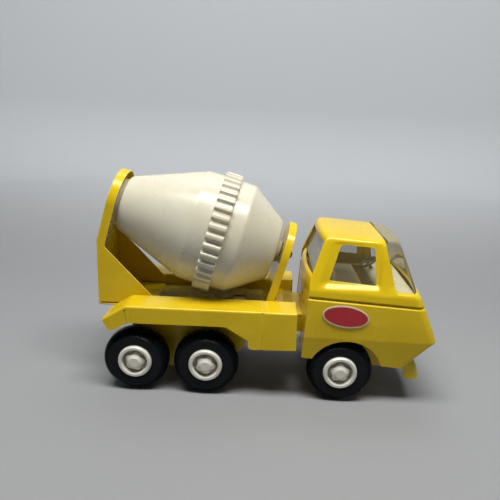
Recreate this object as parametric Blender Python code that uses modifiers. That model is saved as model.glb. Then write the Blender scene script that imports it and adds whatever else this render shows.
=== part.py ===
"""Toy cement mixer lorry in pressed steel, with a turning plastic drum and three turning axles.

Metres, +Z up, +X towards the cab's nose, -Y is the lorry's right-hand side. The origin is on the
ground, under the middle of the lorry's length and width.
"""

import math

import bmesh
import bpy
from mathutils import Matrix, Vector

MM = 0.001
SHEET = 0.8 * MM  # pressed steel
GAP = 0.3 * MM  # between touching pieces
RUNNING_FIT = 0.1 * MM  # between a shaft and the hole that it turns in

# Wheels
AXLE_X = {"rear": -89.7 * MM, "middle": -39.6 * MM, "front": 55.3 * MM}
TYRE_RADIUS = 23.2 * MM
AXLE_Z = TYRE_RADIUS
TYRE_INNER_Y = 28.4 * MM
TYRE_OUTER_Y = 44.6 * MM
HUB_RADIUS = 11.9 * MM
HUB_OUTER_Y = 46.1 * MM
HUB_INNER_Y = 28.2 * MM
AXLE_ROD_RADIUS = 1.5 * MM
AXLE_ROD_END_Y = 43.2 * MM

# Rear body: two box fenders and the deck between them
FENDER_Y = 47.2 * MM
TROUGH_Y = 24.1 * MM
FENDER_TOP_REAR = Vector((-95.2 * MM, 66.0 * MM))
FENDER_TOP_FRONT = Vector((22.4 * MM, 66.9 * MM))
FLAP_TIP = Vector((-111.7 * MM, 55.5 * MM))
DECK_TOP_Z = 57.8 * MM
DECK_REAR_X = -120.6 * MM
FENDER_BEND = 1.6 * MM

# Chassis frame: an upside-down channel under the rear body and the cab
FRAME_TOP_Z = DECK_TOP_Z - SHEET - GAP
FRAME_Y = 22.5 * MM
AXLE_HOLE_RADIUS = AXLE_ROD_RADIUS + RUNNING_FIT

# Drum, placed along its own axis: s runs forwards and down, r is the radius
DRUM_CENTRE = Vector((-37.2 * MM, 0.0, 109.5 * MM))
DRUM_TILT = math.radians(15.16)
DRUM_WALL = 1.6 * MM
DRUM_STEPS = 40
RING_RADIUS = 44.6 * MM
RING_HALF_WIDTH = 6.2 * MM
RING_RIDGES = 40
BAND_RADIUS = 41.0 * MM
NECK_RADIUS = 17.4 * MM
PIN_RADIUS = 1.6 * MM

# Uprights that carry the drum
UPRIGHT_Y = TROUGH_Y - GAP
REAR_PLATE_S = -79.2 * MM
FRONT_PLATE_S = 48.6 * MM
FLANGE_DEPTH = 5.3 * MM
BRACKET_BACK_X = -120.6 * MM
GUSSET_FRONT_X = -80.4 * MM
GUSSET_LIFT = 1.1 * MM  # the gussets' lower edges stand clear of the deck

# Cab
CAB_REAR_X = 27.4 * MM
PILLAR_X = 87.9 * MM  # foot of the windscreen pillar
FOLD_Z = 49.6 * MM
NOSE_X = 119.6 * MM  # at the fold, on the corner
NOSE_LEAN = 0.435  # how far the nose comes back for each unit of height
CAB_HALF_WIDTH = 46.1 * MM
ARCH_RADIUS = 25.6 * MM
ARCH_CENTRE = (58.6 * MM, 22.6 * MM)
BADGE_X = 55.1 * MM
BADGE_Z = 66.5 * MM

# Paint and plastic: base colour, roughness, metallic
YELLOW = ((0.72, 0.50, 0.02, 1.0), 0.35, 0.0)
CREAM = ((0.80, 0.77, 0.66, 1.0), 0.40, 0.0)
RUBBER = ((0.012, 0.013, 0.016, 1.0), 0.60, 0.0)
CLEAR = ((0.55, 0.53, 0.42, 1.0), 0.08, 0.0)
STEEL = ((0.50, 0.50, 0.50, 1.0), 0.35, 1.0)
BADGE = ((0.60, 0.05, 0.05, 1.0), 0.35, 0.0)


def clear_scene():
    for obj in list(bpy.data.objects):
        bpy.data.objects.remove(obj, do_unlink=True)


def new_collection(name):
    collection = bpy.data.collections.new(name)
    bpy.context.scene.collection.children.link(collection)
    return collection


def material_for(name, finish):
    colour, roughness, metallic = finish
    material = bpy.data.materials.new(name)
    material.use_nodes = True
    shader = material.node_tree.nodes["Principled BSDF"]
    shader.inputs["Base Color"].default_value = colour
    shader.inputs["Roughness"].default_value = roughness
    shader.inputs["Metallic"].default_value = metallic
    material.diffuse_color = colour
    return material


def add_object(name, mesh, finish):
    obj = bpy.data.objects.new(name, mesh)
    PARTS.objects.link(obj)
    mesh.materials.append(material_for(name, finish))
    return obj


def mesh_of(name, bm):
    bmesh.ops.recalc_face_normals(bm, faces=bm.faces)
    mesh = bpy.data.meshes.new(name)
    bm.to_mesh(mesh)
    bm.free()
    return mesh


def cutter_of(name, bm):
    cutter = bpy.data.objects.new(name, mesh_of(name, bm))
    CUTTERS.objects.link(cutter)
    cutter.hide_render = True
    cutter.display_type = "WIRE"
    return cutter


def boolean(obj, cutter, operation="DIFFERENCE"):
    modifier = obj.modifiers.new(f"{operation.lower()} {cutter.name}", "BOOLEAN")
    modifier.operation = operation
    modifier.object = cutter


def smooth(obj, angle=35):
    obj.data.shade_smooth()
    obj.data.set_sharp_from_angle(angle=math.radians(angle))


def box(bm, low, high):
    low = Vector(low)
    high = Vector(high)
    made = bmesh.ops.create_cube(bm, size=1.0)
    size = Matrix.Diagonal((*(high - low), 1.0))
    bmesh.ops.transform(bm, matrix=Matrix.Translation((low + high) / 2) @ size, verts=made["verts"])
    return made["verts"]


def prism(bm, outline, low_y, high_y):
    """A flat outline of (x, z) points in the side view, extruded across the lorry."""
    ring = [bm.verts.new((x, low_y, z)) for x, z in outline]
    face = bm.faces.new(ring)
    made = bmesh.ops.extrude_face_region(bm, geom=[face])
    moved = [item for item in made["geom"] if isinstance(item, bmesh.types.BMVert)]
    bmesh.ops.translate(bm, verts=moved, vec=(0, high_y - low_y, 0))
    bm.normal_update()
    return ring + moved


def plate(bm, outline, matrix, thickness):
    """A flat outline of (u, v) points in the plane of matrix, extruded along its third axis."""
    ring = [bm.verts.new(matrix @ Vector((u, v, 0))) for u, v in outline]
    face = bm.faces.new(ring)
    made = bmesh.ops.extrude_face_region(bm, geom=[face])
    moved = [item for item in made["geom"] if isinstance(item, bmesh.types.BMVert)]
    push = matrix.to_3x3() @ Vector((0, 0, thickness))
    bmesh.ops.translate(bm, verts=moved, vec=push)


def arc(centre, radius, start, end, steps):
    """Points from angle start to angle end, in degrees, about a centre."""
    points = []
    for i in range(steps + 1):
        angle = math.radians(start + (end - start) * i / steps)
        points.append((centre[0] + radius * math.cos(angle), centre[1] + radius * math.sin(angle)))
    return points


def turned(name, profile, steps, finish, matrix):
    """A closed profile of (radius, height) points turned about Z, then placed by matrix.
    Its points run down the outer side first, so that the faces point out."""
    bm = bmesh.new()
    verts = [bm.verts.new((r, 0, h)) for r, h in profile]
    for a, b in zip(verts, verts[1:] + verts[:1]):
        if a.co.x > 0 or b.co.x > 0:
            bm.edges.new((a, b))
    mesh = bpy.data.meshes.new(name)
    bm.to_mesh(mesh)
    bm.free()
    obj = add_object(name, mesh, finish)
    screw = obj.modifiers.new("turn", "SCREW")
    screw.axis = "Z"
    screw.steps = steps
    screw.render_steps = steps
    screw.use_merge_vertices = True
    screw.merge_threshold = 0.00005
    screw.use_smooth_shade = True
    obj.matrix_world = matrix
    return obj


def body_empty(name, location):
    empty = bpy.data.objects.new(name, None)
    PARTS.objects.link(empty)
    empty.location = location
    bpy.context.view_layer.update()
    return empty


def ride(obj, parent):
    world = obj.matrix_world.copy()
    obj.parent = parent
    obj.matrix_parent_inverse = parent.matrix_world.inverted()
    obj.matrix_world = world


# --- Wheels and axles -------------------------------------------------------------------------

def axle_matrix(x, side):
    """Local Z points out of the wheel, at the middle of the lorry's width."""
    turn = Matrix.Rotation(math.radians(90 * side), 4, "X")
    return Matrix.Translation((x, 0, AXLE_Z)) @ turn


def tyre_profile():
    shoulder = 2.8 * MM
    bead = HUB_RADIUS + GAP
    outer = TYRE_OUTER_Y
    inner = TYRE_INNER_Y
    return [
        (bead, outer - 0.6 * MM),
        (TYRE_RADIUS - shoulder * 1.6, outer),
        (TYRE_RADIUS - 0.9 * MM, outer - shoulder),
        (TYRE_RADIUS, outer - shoulder * 1.9),
        (TYRE_RADIUS, inner + shoulder * 1.9),
        (TYRE_RADIUS - 0.9 * MM, inner + shoulder),
        (TYRE_RADIUS - shoulder * 1.6, inner),
        (bead, inner + 0.6 * MM),
    ]


def hub_profile():
    hole = AXLE_ROD_RADIUS + GAP
    face = HUB_OUTER_Y
    return [
        (0, face - 0.8 * MM),
        (3.4 * MM, face - 0.8 * MM),
        (5.4 * MM, face - 2.4 * MM),
        (8.8 * MM, face - 2.4 * MM),
        (9.9 * MM, face),
        (HUB_RADIUS, face - 0.6 * MM),
        (HUB_RADIUS, HUB_INNER_Y),
        (hole, HUB_INNER_Y),
        (hole, AXLE_ROD_END_Y + GAP),
        (0, AXLE_ROD_END_Y + GAP),
    ]


def make_axle(which):
    x = AXLE_X[which]
    body = body_empty(f"{which}_axle_pivot", (x, 0, AXLE_Z))
    for side, label in ((1, "right"), (-1, "left")):
        matrix = axle_matrix(x, side)
        tyre = turned(f"{which}_tyre_{label}", tyre_profile(), 24, RUBBER, matrix)
        ride(tyre, body)
        hub = turned(f"{which}_hub_{label}", hub_profile(), 20, CREAM, matrix)
        ride(hub, body)
    bm = bmesh.new()
    bmesh.ops.create_cone(
        bm, cap_ends=True, segments=16, radius1=AXLE_ROD_RADIUS, radius2=AXLE_ROD_RADIUS,
        depth=2 * AXLE_ROD_END_Y,
    )
    rod = add_object(f"{which}_axle_rod", mesh_of("rod", bm), STEEL)
    rod.matrix_world = axle_matrix(x, 1)
    smooth(rod)
    ride(rod, body)


# --- Rear body and chassis frame ----------------------------------------------------------------

def fender_outline():
    return [
        (-106.8 * MM, 47.6 * MM),
        (-104.6 * MM, 47.3 * MM),
        (-93.4 * MM, 53.6 * MM),
        (-26.3 * MM, 54.5 * MM),
        (-10.2 * MM, 45.0 * MM),
        (-10.0 * MM, 41.4 * MM),
        (-8.9 * MM, 39.6 * MM),
        (-6.2 * MM, 38.6 * MM),
        (23.2 * MM, 39.5 * MM),
        tuple(FENDER_TOP_FRONT),
        tuple(FENDER_TOP_REAR),
        tuple(FLAP_TIP),
    ]


def bevel_along_x(bm, verts, width, corner_test):
    """Round the fender's long top edges, which run along the lorry."""
    wanted = set(verts)
    edges = []
    for edge in bm.edges:
        a, b = edge.verts
        if a in wanted and b in wanted and corner_test(a.co, b.co):
            edges.append(edge)
    bmesh.ops.bevel(bm, geom=edges, offset=width, segments=2, affect="EDGES", profile=0.5)


def fender_top_edge(a, b):
    flat = abs(a.y - b.y) < 1e-6
    along_top = min(a.z, b.z) > 55.0 * MM and abs(a.x - b.x) > 5 * MM and abs(a.z - b.z) < 12 * MM
    return flat and along_top and max(a.z, b.z) > 64 * MM


def under_top_outline():
    """Everything under the fender's top sheet, so that cutting it leaves a folded sheet."""
    slope = (FENDER_TOP_REAR - FLAP_TIP).normalized()
    drop = Vector((slope.y, -slope.x)) * SHEET
    far = FLAP_TIP + drop - slope * 12 * MM
    bend = FENDER_TOP_REAR + Vector((0.2 * MM, -SHEET))
    front_x = FENDER_TOP_FRONT.x - SHEET
    return [
        tuple(far),
        (far.x, 20 * MM),
        (front_x + 0.4 * MM, 20 * MM),
        (front_x, FENDER_TOP_FRONT.y - SHEET),
        tuple(bend),
    ]


def make_rear_body():
    bm = bmesh.new()
    verts = prism(bm, fender_outline(), -FENDER_Y, -TROUGH_Y)
    bevel_along_x(bm, verts, FENDER_BEND, fender_top_edge)
    right = add_object("rear_body", mesh_of("rear_body", bm), YELLOW)
    bm = bmesh.new()
    verts = prism(bm, fender_outline(), TROUGH_Y, FENDER_Y)
    bevel_along_x(bm, verts, FENDER_BEND, fender_top_edge)
    boolean(right, cutter_of("left_fender_block", bm), "UNION")
    bm = bmesh.new()
    reach = TROUGH_Y + 1.0 * MM
    box(bm, (DECK_REAR_X, -reach, DECK_TOP_Z - SHEET), (22.0 * MM, reach, DECK_TOP_Z))
    boolean(right, cutter_of("deck_block", bm), "UNION")
    wall = SHEET
    for side, label in ((-1, "right"), (1, "left")):
        bm = bmesh.new()
        low, high = sorted((side * (FENDER_Y - wall), side * (TROUGH_Y + wall)))
        prism(bm, under_top_outline(), low, high)
        boolean(right, cutter_of(f"under_{label}_fender", bm))
    bm = bmesh.new()
    box(bm, (-23.5 * MM, -7 * MM, 50 * MM), (-14.5 * MM, 7 * MM, 60 * MM))
    boolean(right, cutter_of("deck_slot", bm))
    smooth(right)


def frame_outline():
    top = FRAME_TOP_Z
    return [
        (-91.5 * MM, top),
        (-96.5 * MM, 34 * MM),
        (-98.5 * MM, 13 * MM),
        (-95.5 * MM, 9.5 * MM),
        (-29.0 * MM, 9.5 * MM),
        (-26.0 * MM, 11 * MM),
        (-10.6 * MM, 34.0 * MM),
        (-6.0 * MM, 43.0 * MM),
        (30.0 * MM, 43.0 * MM),
        (38.0 * MM, 22.0 * MM),
        (43.0 * MM, 18.8 * MM),
        (96.0 * MM, 19.0 * MM),
        (109.2 * MM, 21.5 * MM),
        (109.2 * MM, 27.0 * MM),
        (100.0 * MM, 31.0 * MM),
        (96.0 * MM, top),
    ]


def make_chassis_frame():
    bm = bmesh.new()
    prism(bm, frame_outline(), -FRAME_Y, FRAME_Y)
    frame = add_object("chassis_frame", mesh_of("chassis_frame", bm), YELLOW)
    bm = bmesh.new()
    inner = FRAME_Y - SHEET
    box(bm, (-130 * MM, -inner, 0), (130 * MM, inner, FRAME_TOP_Z - SHEET))
    boolean(frame, cutter_of("inside_of_frame", bm))
    for which, x in AXLE_X.items():
        bm = bmesh.new()
        bmesh.ops.create_cone(
            bm, cap_ends=True, segments=16, radius1=AXLE_HOLE_RADIUS, radius2=AXLE_HOLE_RADIUS,
            depth=2 * FRAME_Y + 10 * MM, matrix=axle_matrix(x, 1),
        )
        boolean(frame, cutter_of(f"{which}_axle_hole", bm))


# --- Drum and its uprights ----------------------------------------------------------------------

def drum_matrix():
    """Local Z runs along the drum's axis towards the cab, and local X points down and backwards."""
    return Matrix.Translation(DRUM_CENTRE) @ Matrix.Rotation(math.radians(90) + DRUM_TILT, 4, "Y")


def rear_shell_profile():
    wall = DRUM_WALL
    return [
        (BAND_RADIUS, -GAP / 2),
        (BAND_RADIUS, -18.0 * MM),
        (20.4 * MM, -70.4 * MM),
        (NECK_RADIUS, -72.4 * MM),
        (NECK_RADIUS, -78.8 * MM),
        (NECK_RADIUS - wall, -78.8 * MM),
        (NECK_RADIUS - wall, -71.4 * MM),
        (20.4 * MM - wall, -68.4 * MM),
        (BAND_RADIUS - wall, -17.6 * MM),
        (BAND_RADIUS - wall, -GAP / 2),
    ]


def front_shell_profile():
    wall = DRUM_WALL
    hole = PIN_RADIUS + GAP
    return [
        (BAND_RADIUS, 17.1 * MM),
        (BAND_RADIUS, GAP / 2),
        (BAND_RADIUS - wall, GAP / 2),
        (BAND_RADIUS - wall, 16.6 * MM),
        (23.1 * MM - wall, 41.7 * MM),
        (6.0 * MM, 41.7 * MM),
        (4.5 * MM, 34.0 * MM),
        (hole, 34.0 * MM),
        (hole, 48.0 * MM),
        (8.0 * MM, 48.0 * MM),
        (9.0 * MM, 44.5 * MM),
        (21.6 * MM, 44.0 * MM),
        (23.1 * MM, 43.0 * MM),
    ]


def make_grip_ring():
    """A ring whose outer side has flat-topped ridges along the drum's axis."""
    groove = RING_RADIUS - 1.4 * MM
    bore = BAND_RADIUS + GAP
    pitch = 2 * math.pi / RING_RIDGES
    share = ((-0.30, RING_RADIUS), (0.26, RING_RADIUS), (0.36, groove), (0.60, groove))
    outer = []
    inner = []
    for ridge in range(RING_RIDGES):
        for offset, radius in share:
            angle = (ridge + offset) * pitch
            outer.append((radius * math.cos(angle), radius * math.sin(angle)))
            inner.append((bore * math.cos(angle), bore * math.sin(angle)))
    bm = bmesh.new()
    low, high = -RING_HALF_WIDTH, RING_HALF_WIDTH
    rings = []
    for outline, height in ((outer, low), (outer, high), (inner, high), (inner, low)):
        rings.append([bm.verts.new((x, y, height)) for x, y in outline])
    for a, b in zip(rings, rings[1:] + rings[:1]):
        for i in range(len(outer)):
            j = (i + 1) % len(outer)
            bm.faces.new((a[i], a[j], b[j], b[i]))
    return mesh_of("grip_ring", bm)


def make_drum():
    matrix = drum_matrix()
    body = body_empty("drum_pivot", DRUM_CENTRE)
    rear = turned("drum_rear_shell", rear_shell_profile(), DRUM_STEPS, CREAM, matrix)
    front = turned("drum_front_shell", front_shell_profile(), DRUM_STEPS, CREAM, matrix)
    ring = add_object("grip_ring", make_grip_ring(), CREAM)
    ring.matrix_world = matrix
    smooth(ring, 20)
    bm = bmesh.new()
    bmesh.ops.create_cone(
        bm, cap_ends=True, segments=16, radius1=PIN_RADIUS, radius2=PIN_RADIUS, depth=19.4 * MM,
        matrix=Matrix.Translation((0, 0, 44.4 * MM)),
    )
    pin = add_object("drum_pin", mesh_of("drum_pin", bm), STEEL)
    pin.matrix_world = matrix
    smooth(pin)
    nut_profile = [
        (0, 58.4 * MM),
        (2.2 * MM, 57.6 * MM),
        (4.0 * MM, 55.0 * MM),
        (4.9 * MM, 51.4 * MM),
        (4.9 * MM, 49.8 * MM),
        (PIN_RADIUS + GAP, 49.8 * MM),
        (PIN_RADIUS + GAP, 54.6 * MM),
        (0, 54.6 * MM),
    ]
    nut = turned("drum_push_nut", nut_profile, 24, STEEL, matrix)
    for piece in (rear, front, ring, pin, nut):
        ride(piece, body)


def drum_point(s, up, across=0.0):
    return drum_matrix() @ Vector((-up, across, s))


def arch_outline(radius, foot):
    """Half round at the top, straight sides down to foot, in the drum's own cross-section."""
    points = [(radius, foot)]
    points += [(x, y) for x, y in arc((0, 0), radius, 0, 180, 20)]
    points.append((-radius, foot))
    return points


def arch_matrix(s):
    """The plane across the drum's axis at s: u across the lorry, v up, then along the axis."""
    world = drum_matrix()
    across = world.to_3x3() @ Vector((0, 1, 0))
    up = world.to_3x3() @ Vector((-1, 0, 0))
    along = world.to_3x3() @ Vector((0, 0, 1))
    origin = world @ Vector((0, 0, s))
    columns = Matrix((across, up, along)).transposed().to_4x4()
    return Matrix.Translation(origin) @ columns


def drum_fold_point():
    """Where the tilted arch plate meets the bracket's upright back, in the side view."""
    plane = drum_point(REAR_PLATE_S, 0)
    up = drum_point(REAR_PLATE_S, 1.0) - plane
    down = (BRACKET_BACK_X - plane.x) / up.x
    return down


def make_rear_bracket():
    """Round-topped plate with a turned rim, an upright back and two side gussets."""
    foot = drum_fold_point()
    bm = bmesh.new()
    plate(bm, arch_outline(UPRIGHT_Y, foot), arch_matrix(REAR_PLATE_S), FLANGE_DEPTH + SHEET)
    bracket = add_object("rear_bracket", mesh_of("rear_bracket", bm), YELLOW)
    bm = bmesh.new()
    fold = drum_point(REAR_PLATE_S, foot)
    rim_end = drum_point(REAR_PLATE_S + FLANGE_DEPTH + SHEET, foot + 1.4 * MM)
    slope_start = drum_point(REAR_PLATE_S + FLANGE_DEPTH + SHEET, foot - 2.6 * MM)
    bottom = DECK_TOP_Z + GAP
    gusset = [
        (fold.x, fold.z + 0.02 * MM),
        (fold.x, bottom),
        (GUSSET_FRONT_X, bottom),
        (GUSSET_FRONT_X, 64.0 * MM),
        (slope_start.x, slope_start.z),
        (rim_end.x, rim_end.z),
    ]
    prism(bm, gusset, -UPRIGHT_Y, UPRIGHT_Y)
    boolean(bracket, cutter_of("gusset_block", bm), "UNION")
    bm = bmesh.new()
    inner = UPRIGHT_Y - SHEET
    plate(bm, arch_outline(inner, foot - 2 * MM), arch_matrix(REAR_PLATE_S + SHEET), 30 * MM)
    boolean(bracket, cutter_of("inside_of_rear_arch", bm))
    bm = bmesh.new()
    inside = [
        (BRACKET_BACK_X + SHEET, fold.z + 1.0 * MM),
        (BRACKET_BACK_X + SHEET, bottom + SHEET),
        (-60 * MM, bottom + SHEET),
        (-60 * MM, 120 * MM),
        (fold.x + 8.0 * MM, 120 * MM),
    ]
    prism(bm, inside, -inner, inner)
    boolean(bracket, cutter_of("inside_of_gussets", bm))
    for side, label in ((-1, "right"), (1, "left")):
        bm = bmesh.new()
        low, high = sorted((side * inner, side * (UPRIGHT_Y + 5 * MM)))
        start = BRACKET_BACK_X + 2 * SHEET
        box(bm, (start, low, bottom - 5 * MM), (-60 * MM, high, bottom + GUSSET_LIFT))
        boolean(bracket, cutter_of(f"below_{label}_gusset", bm))
    bm = bmesh.new()
    bmesh.ops.create_cone(
        bm, cap_ends=True, segments=DRUM_STEPS, radius1=NECK_RADIUS + 1.5 * RUNNING_FIT,
        radius2=NECK_RADIUS + 1.5 * RUNNING_FIT, depth=8 * MM,
        matrix=drum_matrix() @ Matrix.Translation((0, 0, REAR_PLATE_S)),
    )
    boolean(bracket, cutter_of("neck_hole", bm))
    smooth(bracket)


def make_front_support():
    """Round-topped plate with a turned rim and a foot that lies on the deck."""
    world = arch_matrix(FRONT_PLATE_S)
    up = world.to_3x3() @ Vector((0, 1, 0))
    origin = world.to_translation()
    foot = (DECK_TOP_Z + GAP - origin.z) / up.z
    bm = bmesh.new()
    plate(bm, arch_outline(UPRIGHT_Y, foot), world, FLANGE_DEPTH)
    support = add_object("front_support", mesh_of("front_support", bm), YELLOW)
    bm = bmesh.new()
    inner = UPRIGHT_Y - SHEET
    plate(bm, arch_outline(inner, foot - 4 * MM), arch_matrix(FRONT_PLATE_S + SHEET), 30 * MM)
    boolean(support, cutter_of("inside_of_front_arch", bm))
    bm = bmesh.new()
    back = origin + up * foot
    sill = DECK_TOP_Z + GAP
    box(bm, (back.x + 0.1 * MM, -inner - 0.2 * MM, sill), (back.x + 15 * MM, inner + 0.2 * MM, sill + SHEET))
    boolean(support, cutter_of("foot_block", bm), "UNION")
    bm = bmesh.new()
    box(bm, (-60 * MM, -60 * MM, sill - 20 * MM), (60 * MM, 60 * MM, sill))
    boolean(support, cutter_of("below_deck", bm))
    bm = bmesh.new()
    bmesh.ops.create_cone(
        bm, cap_ends=True, segments=16, radius1=PIN_RADIUS + RUNNING_FIT,
        radius2=PIN_RADIUS + RUNNING_FIT, depth=8 * MM,
        matrix=drum_matrix() @ Matrix.Translation((0, 0, FRONT_PLATE_S)),
    )
    boolean(support, cutter_of("pin_hole", bm))
    smooth(support)


# --- Cab ----------------------------------------------------------------------------------------

# Levels of the cab's skin below the windows, from the fold up. Each has its height at the back
# and at the nose, its half width, how far it stands back from the nose's line, and its crown.
LOWER_LEVELS = [
    (49.6, 49.6, 46.1, 0.0, 1.0),
    (62.0, 61.0, 46.3, 0.0, 1.5),
    (77.0, 72.8, 45.8, 0.0, 2.0),
    (78.2, 74.0, 44.9, 0.0, 2.0),
    (79.4, 75.2, 45.6, 0.0, 2.0),
    (84.0, 81.4, 44.7, 0.3, 3.0),
    (86.0, 83.2, 42.9, 1.6, 3.0),
]
SIDE_SHARES = (0.0, 0.12, 0.25, 0.42, 0.60, 0.785, 0.9, 1.0)
NOSE_CORNER = 6.0 * MM
SKIRT_POINTS = len(SIDE_SHARES) + 3  # the side's points and the first three of the corner


def nose_x(z):
    return NOSE_X - NOSE_LEAN * (z - FOLD_Z)


def rear_edge_x(z):
    """The cab's rear edge: nearly upright to the sill, then leaning forwards to the roof."""
    if z < 90 * MM:
        return CAB_REAR_X + 0.04 * (z - 33 * MM)
    return CAB_REAR_X + 2.28 * MM + 0.34 * (z - 90 * MM)


def pillar_x(z):
    """The front edge of the windscreen pillar."""
    return PILLAR_X - 0.25 * (z - 83 * MM)


def lower_row(level):
    """One half of a level below the windows: along the side, round the nose to the middle."""
    z_back, z_nose, half, set_back, crown = (value * MM for value in level)
    points = []
    far_x = nose_x(z_nose) - set_back
    corner_x = far_x - NOSE_CORNER

    def height(x):
        share = (x - CAB_REAR_X) / (far_x - CAB_REAR_X)
        return z_back + (z_nose - z_back) * share

    start = rear_edge_x(z_back)
    stop = pillar_x(max(z_nose, 83 * MM))
    for share in SIDE_SHARES:
        x = start + (stop - start) * share
        points.append((x, -half, height(x)))
    points.append((corner_x, -half, height(corner_x)))
    for degrees in (30, 60, 90):
        angle = math.radians(degrees)
        x = corner_x + NOSE_CORNER * math.sin(angle)
        y = half - NOSE_CORNER * (1 - math.cos(angle))
        points.append((x, -y, height(x)))
    flat = half - NOSE_CORNER
    for share in (0.66, 0.33, 0.0):
        x = far_x + crown * (1 - share * share)
        points.append((x, -flat * share, z_nose))
    return points


# Levels of the skin from the sill to the roof: height at the back and at the pillar, half width,
# and how far the window's recess is pressed in.
UPPER_LEVELS = [
    (89.8, 87.6, 42.2, 1.4),
    (113.9, 113.4, 33.6, 0.3),
    (116.6, 114.6, 32.5, 0.0),
    (118.2, 115.9, 31.0, 0.0),
]
# The roof, from its edge to the middle: height at the back and at the front, and half width.
ROOF_LEVELS = [(118.9, 116.4, 28.6), (120.0, 116.7, 21.0), (120.7, 116.9, 14.0), (121.0, 117.0, 7.0),
               (121.1, 117.0, 0.0)]
ROOF_HALF_WIDTH = 31.0 * MM
REAR_CROWN = 3.4 * MM  # how far the cab's rear edges bow backwards in the middle


def upper_row(level):
    z_back, z_front, half, recess = (value * MM for value in level)
    points = []
    for i, share in enumerate(SIDE_SHARES):
        z = z_back + (z_front - z_back) * share
        start = rear_edge_x(z_back)
        x = start + (pillar_x(z_front) - start) * share
        pressed = recess if 2 <= i <= 5 else 0.0
        points.append((x, -(half - pressed), z))
    return points


def roof_rear_x(half):
    """The roof's rear edge, bowed backwards in the middle."""
    straight = rear_edge_x(UPPER_LEVELS[-1][0] * MM)
    return straight - REAR_CROWN * (1 - (half / ROOF_HALF_WIDTH) ** 2)


def roof_row(level):
    z_back, z_front, half = (value * MM for value in level)
    start = roof_rear_x(half)
    points = []
    for share in SIDE_SHARES:
        x = start + (pillar_x(z_front) - start) * share
        points.append((x, -half, z_back + (z_front - z_back) * share))
    return points


def skin_rows(bm, rows):
    """Quads between neighbouring rows of points, which may differ in length."""
    made = [[bm.verts.new(point) for point in row] for row in rows]
    for below, above in zip(made, made[1:]):
        for i in range(min(len(below), len(above)) - 1):
            bm.faces.new((below[i], below[i + 1], above[i + 1], above[i]))


def skirt_rows():
    """The side below the fold, which tucks in and ends in a slanted front edge."""
    top = lower_row(LOWER_LEVELS[0])[:SKIRT_POINTS]
    bottom = []
    bottom_front = Vector((97.4 * MM, -43.0 * MM, 28.4 * MM))
    first = Vector((CAB_REAR_X, -43.6 * MM, 33.0 * MM))
    for point in top:
        share = (point[0] - top[0][0]) / (top[-1][0] - top[0][0])
        bottom.append(tuple(first.lerp(bottom_front, share)))
    return [bottom, top]


def mirror_across(obj):
    mirror = obj.modifiers.new("other half", "MIRROR")
    mirror.use_axis = (False, True, False)
    mirror.use_clip = True
    mirror.merge_threshold = 0.00005


def make_cab_shell():
    bm = bmesh.new()
    skin_rows(bm, skirt_rows())
    lower = [lower_row(level) for level in LOWER_LEVELS]
    skin_rows(bm, lower)
    upper = [lower[-1][: len(SIDE_SHARES)]] + [upper_row(level) for level in UPPER_LEVELS]
    upper += [roof_row(level) for level in ROOF_LEVELS]
    skin_rows(bm, upper)
    bmesh.ops.remove_doubles(bm, verts=bm.verts, dist=0.00002)
    header_lip(bm, [row[0] for row in upper[-len(ROOF_LEVELS) - 1:]])
    cab = add_object("cab_shell", mesh_of("cab_shell", bm), YELLOW)
    mirror_across(cab)
    skin = cab.modifiers.new("sheet", "SOLIDIFY")
    skin.thickness = SHEET
    skin.offset = -1.0
    for name, outline in (("wheel_arches", arch_cut()), ("side_windows", window_cut())):
        bm = bmesh.new()
        prism(bm, outline, -60 * MM, 60 * MM)
        boolean(cab, cutter_of(name, bm))
    smooth(cab)


def header_lip(bm, rear_edge):
    """The roof's rear edge is turned down over the rear window."""
    edge = []
    for point in rear_edge:
        edge.append(min(bm.verts, key=lambda vert: (vert.co - Vector(point)).length))
    lower = []
    for vert in edge:
        lower.append(bm.verts.new(vert.co + Vector((-1.7 * MM, 0, -3.6 * MM))))
    for i in range(len(edge) - 1):
        bm.faces.new((edge[i], lower[i], lower[i + 1], edge[i + 1]))


def arch_cut():
    """Nearly round, a little flattened at the top, open downwards."""
    cx, cz = ARCH_CENTRE
    points = [(35.0 * MM, 20 * MM), (35.2 * MM, 33.0 * MM)]
    for x, z in arc((0, 0), 1.0, 150, 16, 12):
        points.append((cx + x * ARCH_RADIUS, cz + z * (ARCH_RADIUS - 0.3 * MM)))
    points.append((83.6 * MM, 20 * MM))
    return points


def window_cut():
    return [
        (44.6 * MM, 89.6 * MM),
        (72.4 * MM, 88.2 * MM),
        (73.6 * MM, 89.2 * MM),
        (71.8 * MM, 112.0 * MM),
        (70.4 * MM, 113.1 * MM),
        (50.6 * MM, 113.5 * MM),
        (49.0 * MM, 112.4 * MM),
        (43.6 * MM, 91.0 * MM),
    ]


def make_rear_panel():
    """The crowned sheet that closes the cab's back up to the window sill."""
    bm = bmesh.new()
    rows = []
    for z, half, inset, share_of_crown in ((34.5, 42.0, 0.6, 0.35), (49.0, 44.0, 0.9, 0.4),
                                           (76.0, 43.4, 1.0, 0.55), (84.6, 41.4, 1.0, 0.9),
                                           (89.0, 40.2, 2.0, 1.0), (90.2, 39.6, 4.0, 1.0)):
        row = []
        crown = REAR_CROWN * share_of_crown
        for i in range(7):
            share = i / 6
            y = -half * MM * share
            edge_x = rear_edge_x(z * MM) + inset * MM
            row.append((edge_x - crown * (1 - share * share), y, z * MM))
        rows.append(row)
    skin_rows(bm, rows)
    panel = add_object("cab_rear_panel", mesh_of("cab_rear_panel", bm), YELLOW)
    mirror_across(panel)
    skin = panel.modifiers.new("sheet", "SOLIDIFY")
    skin.thickness = SHEET
    skin.offset = 0.0
    bm = bmesh.new()
    side = FRAME_Y + GAP * 2
    box(bm, (0, -side, 0), (50 * MM, side, FRAME_TOP_Z + 2 * GAP))
    boolean(panel, cutter_of("frame_notch", bm))
    smooth(panel)


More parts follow.
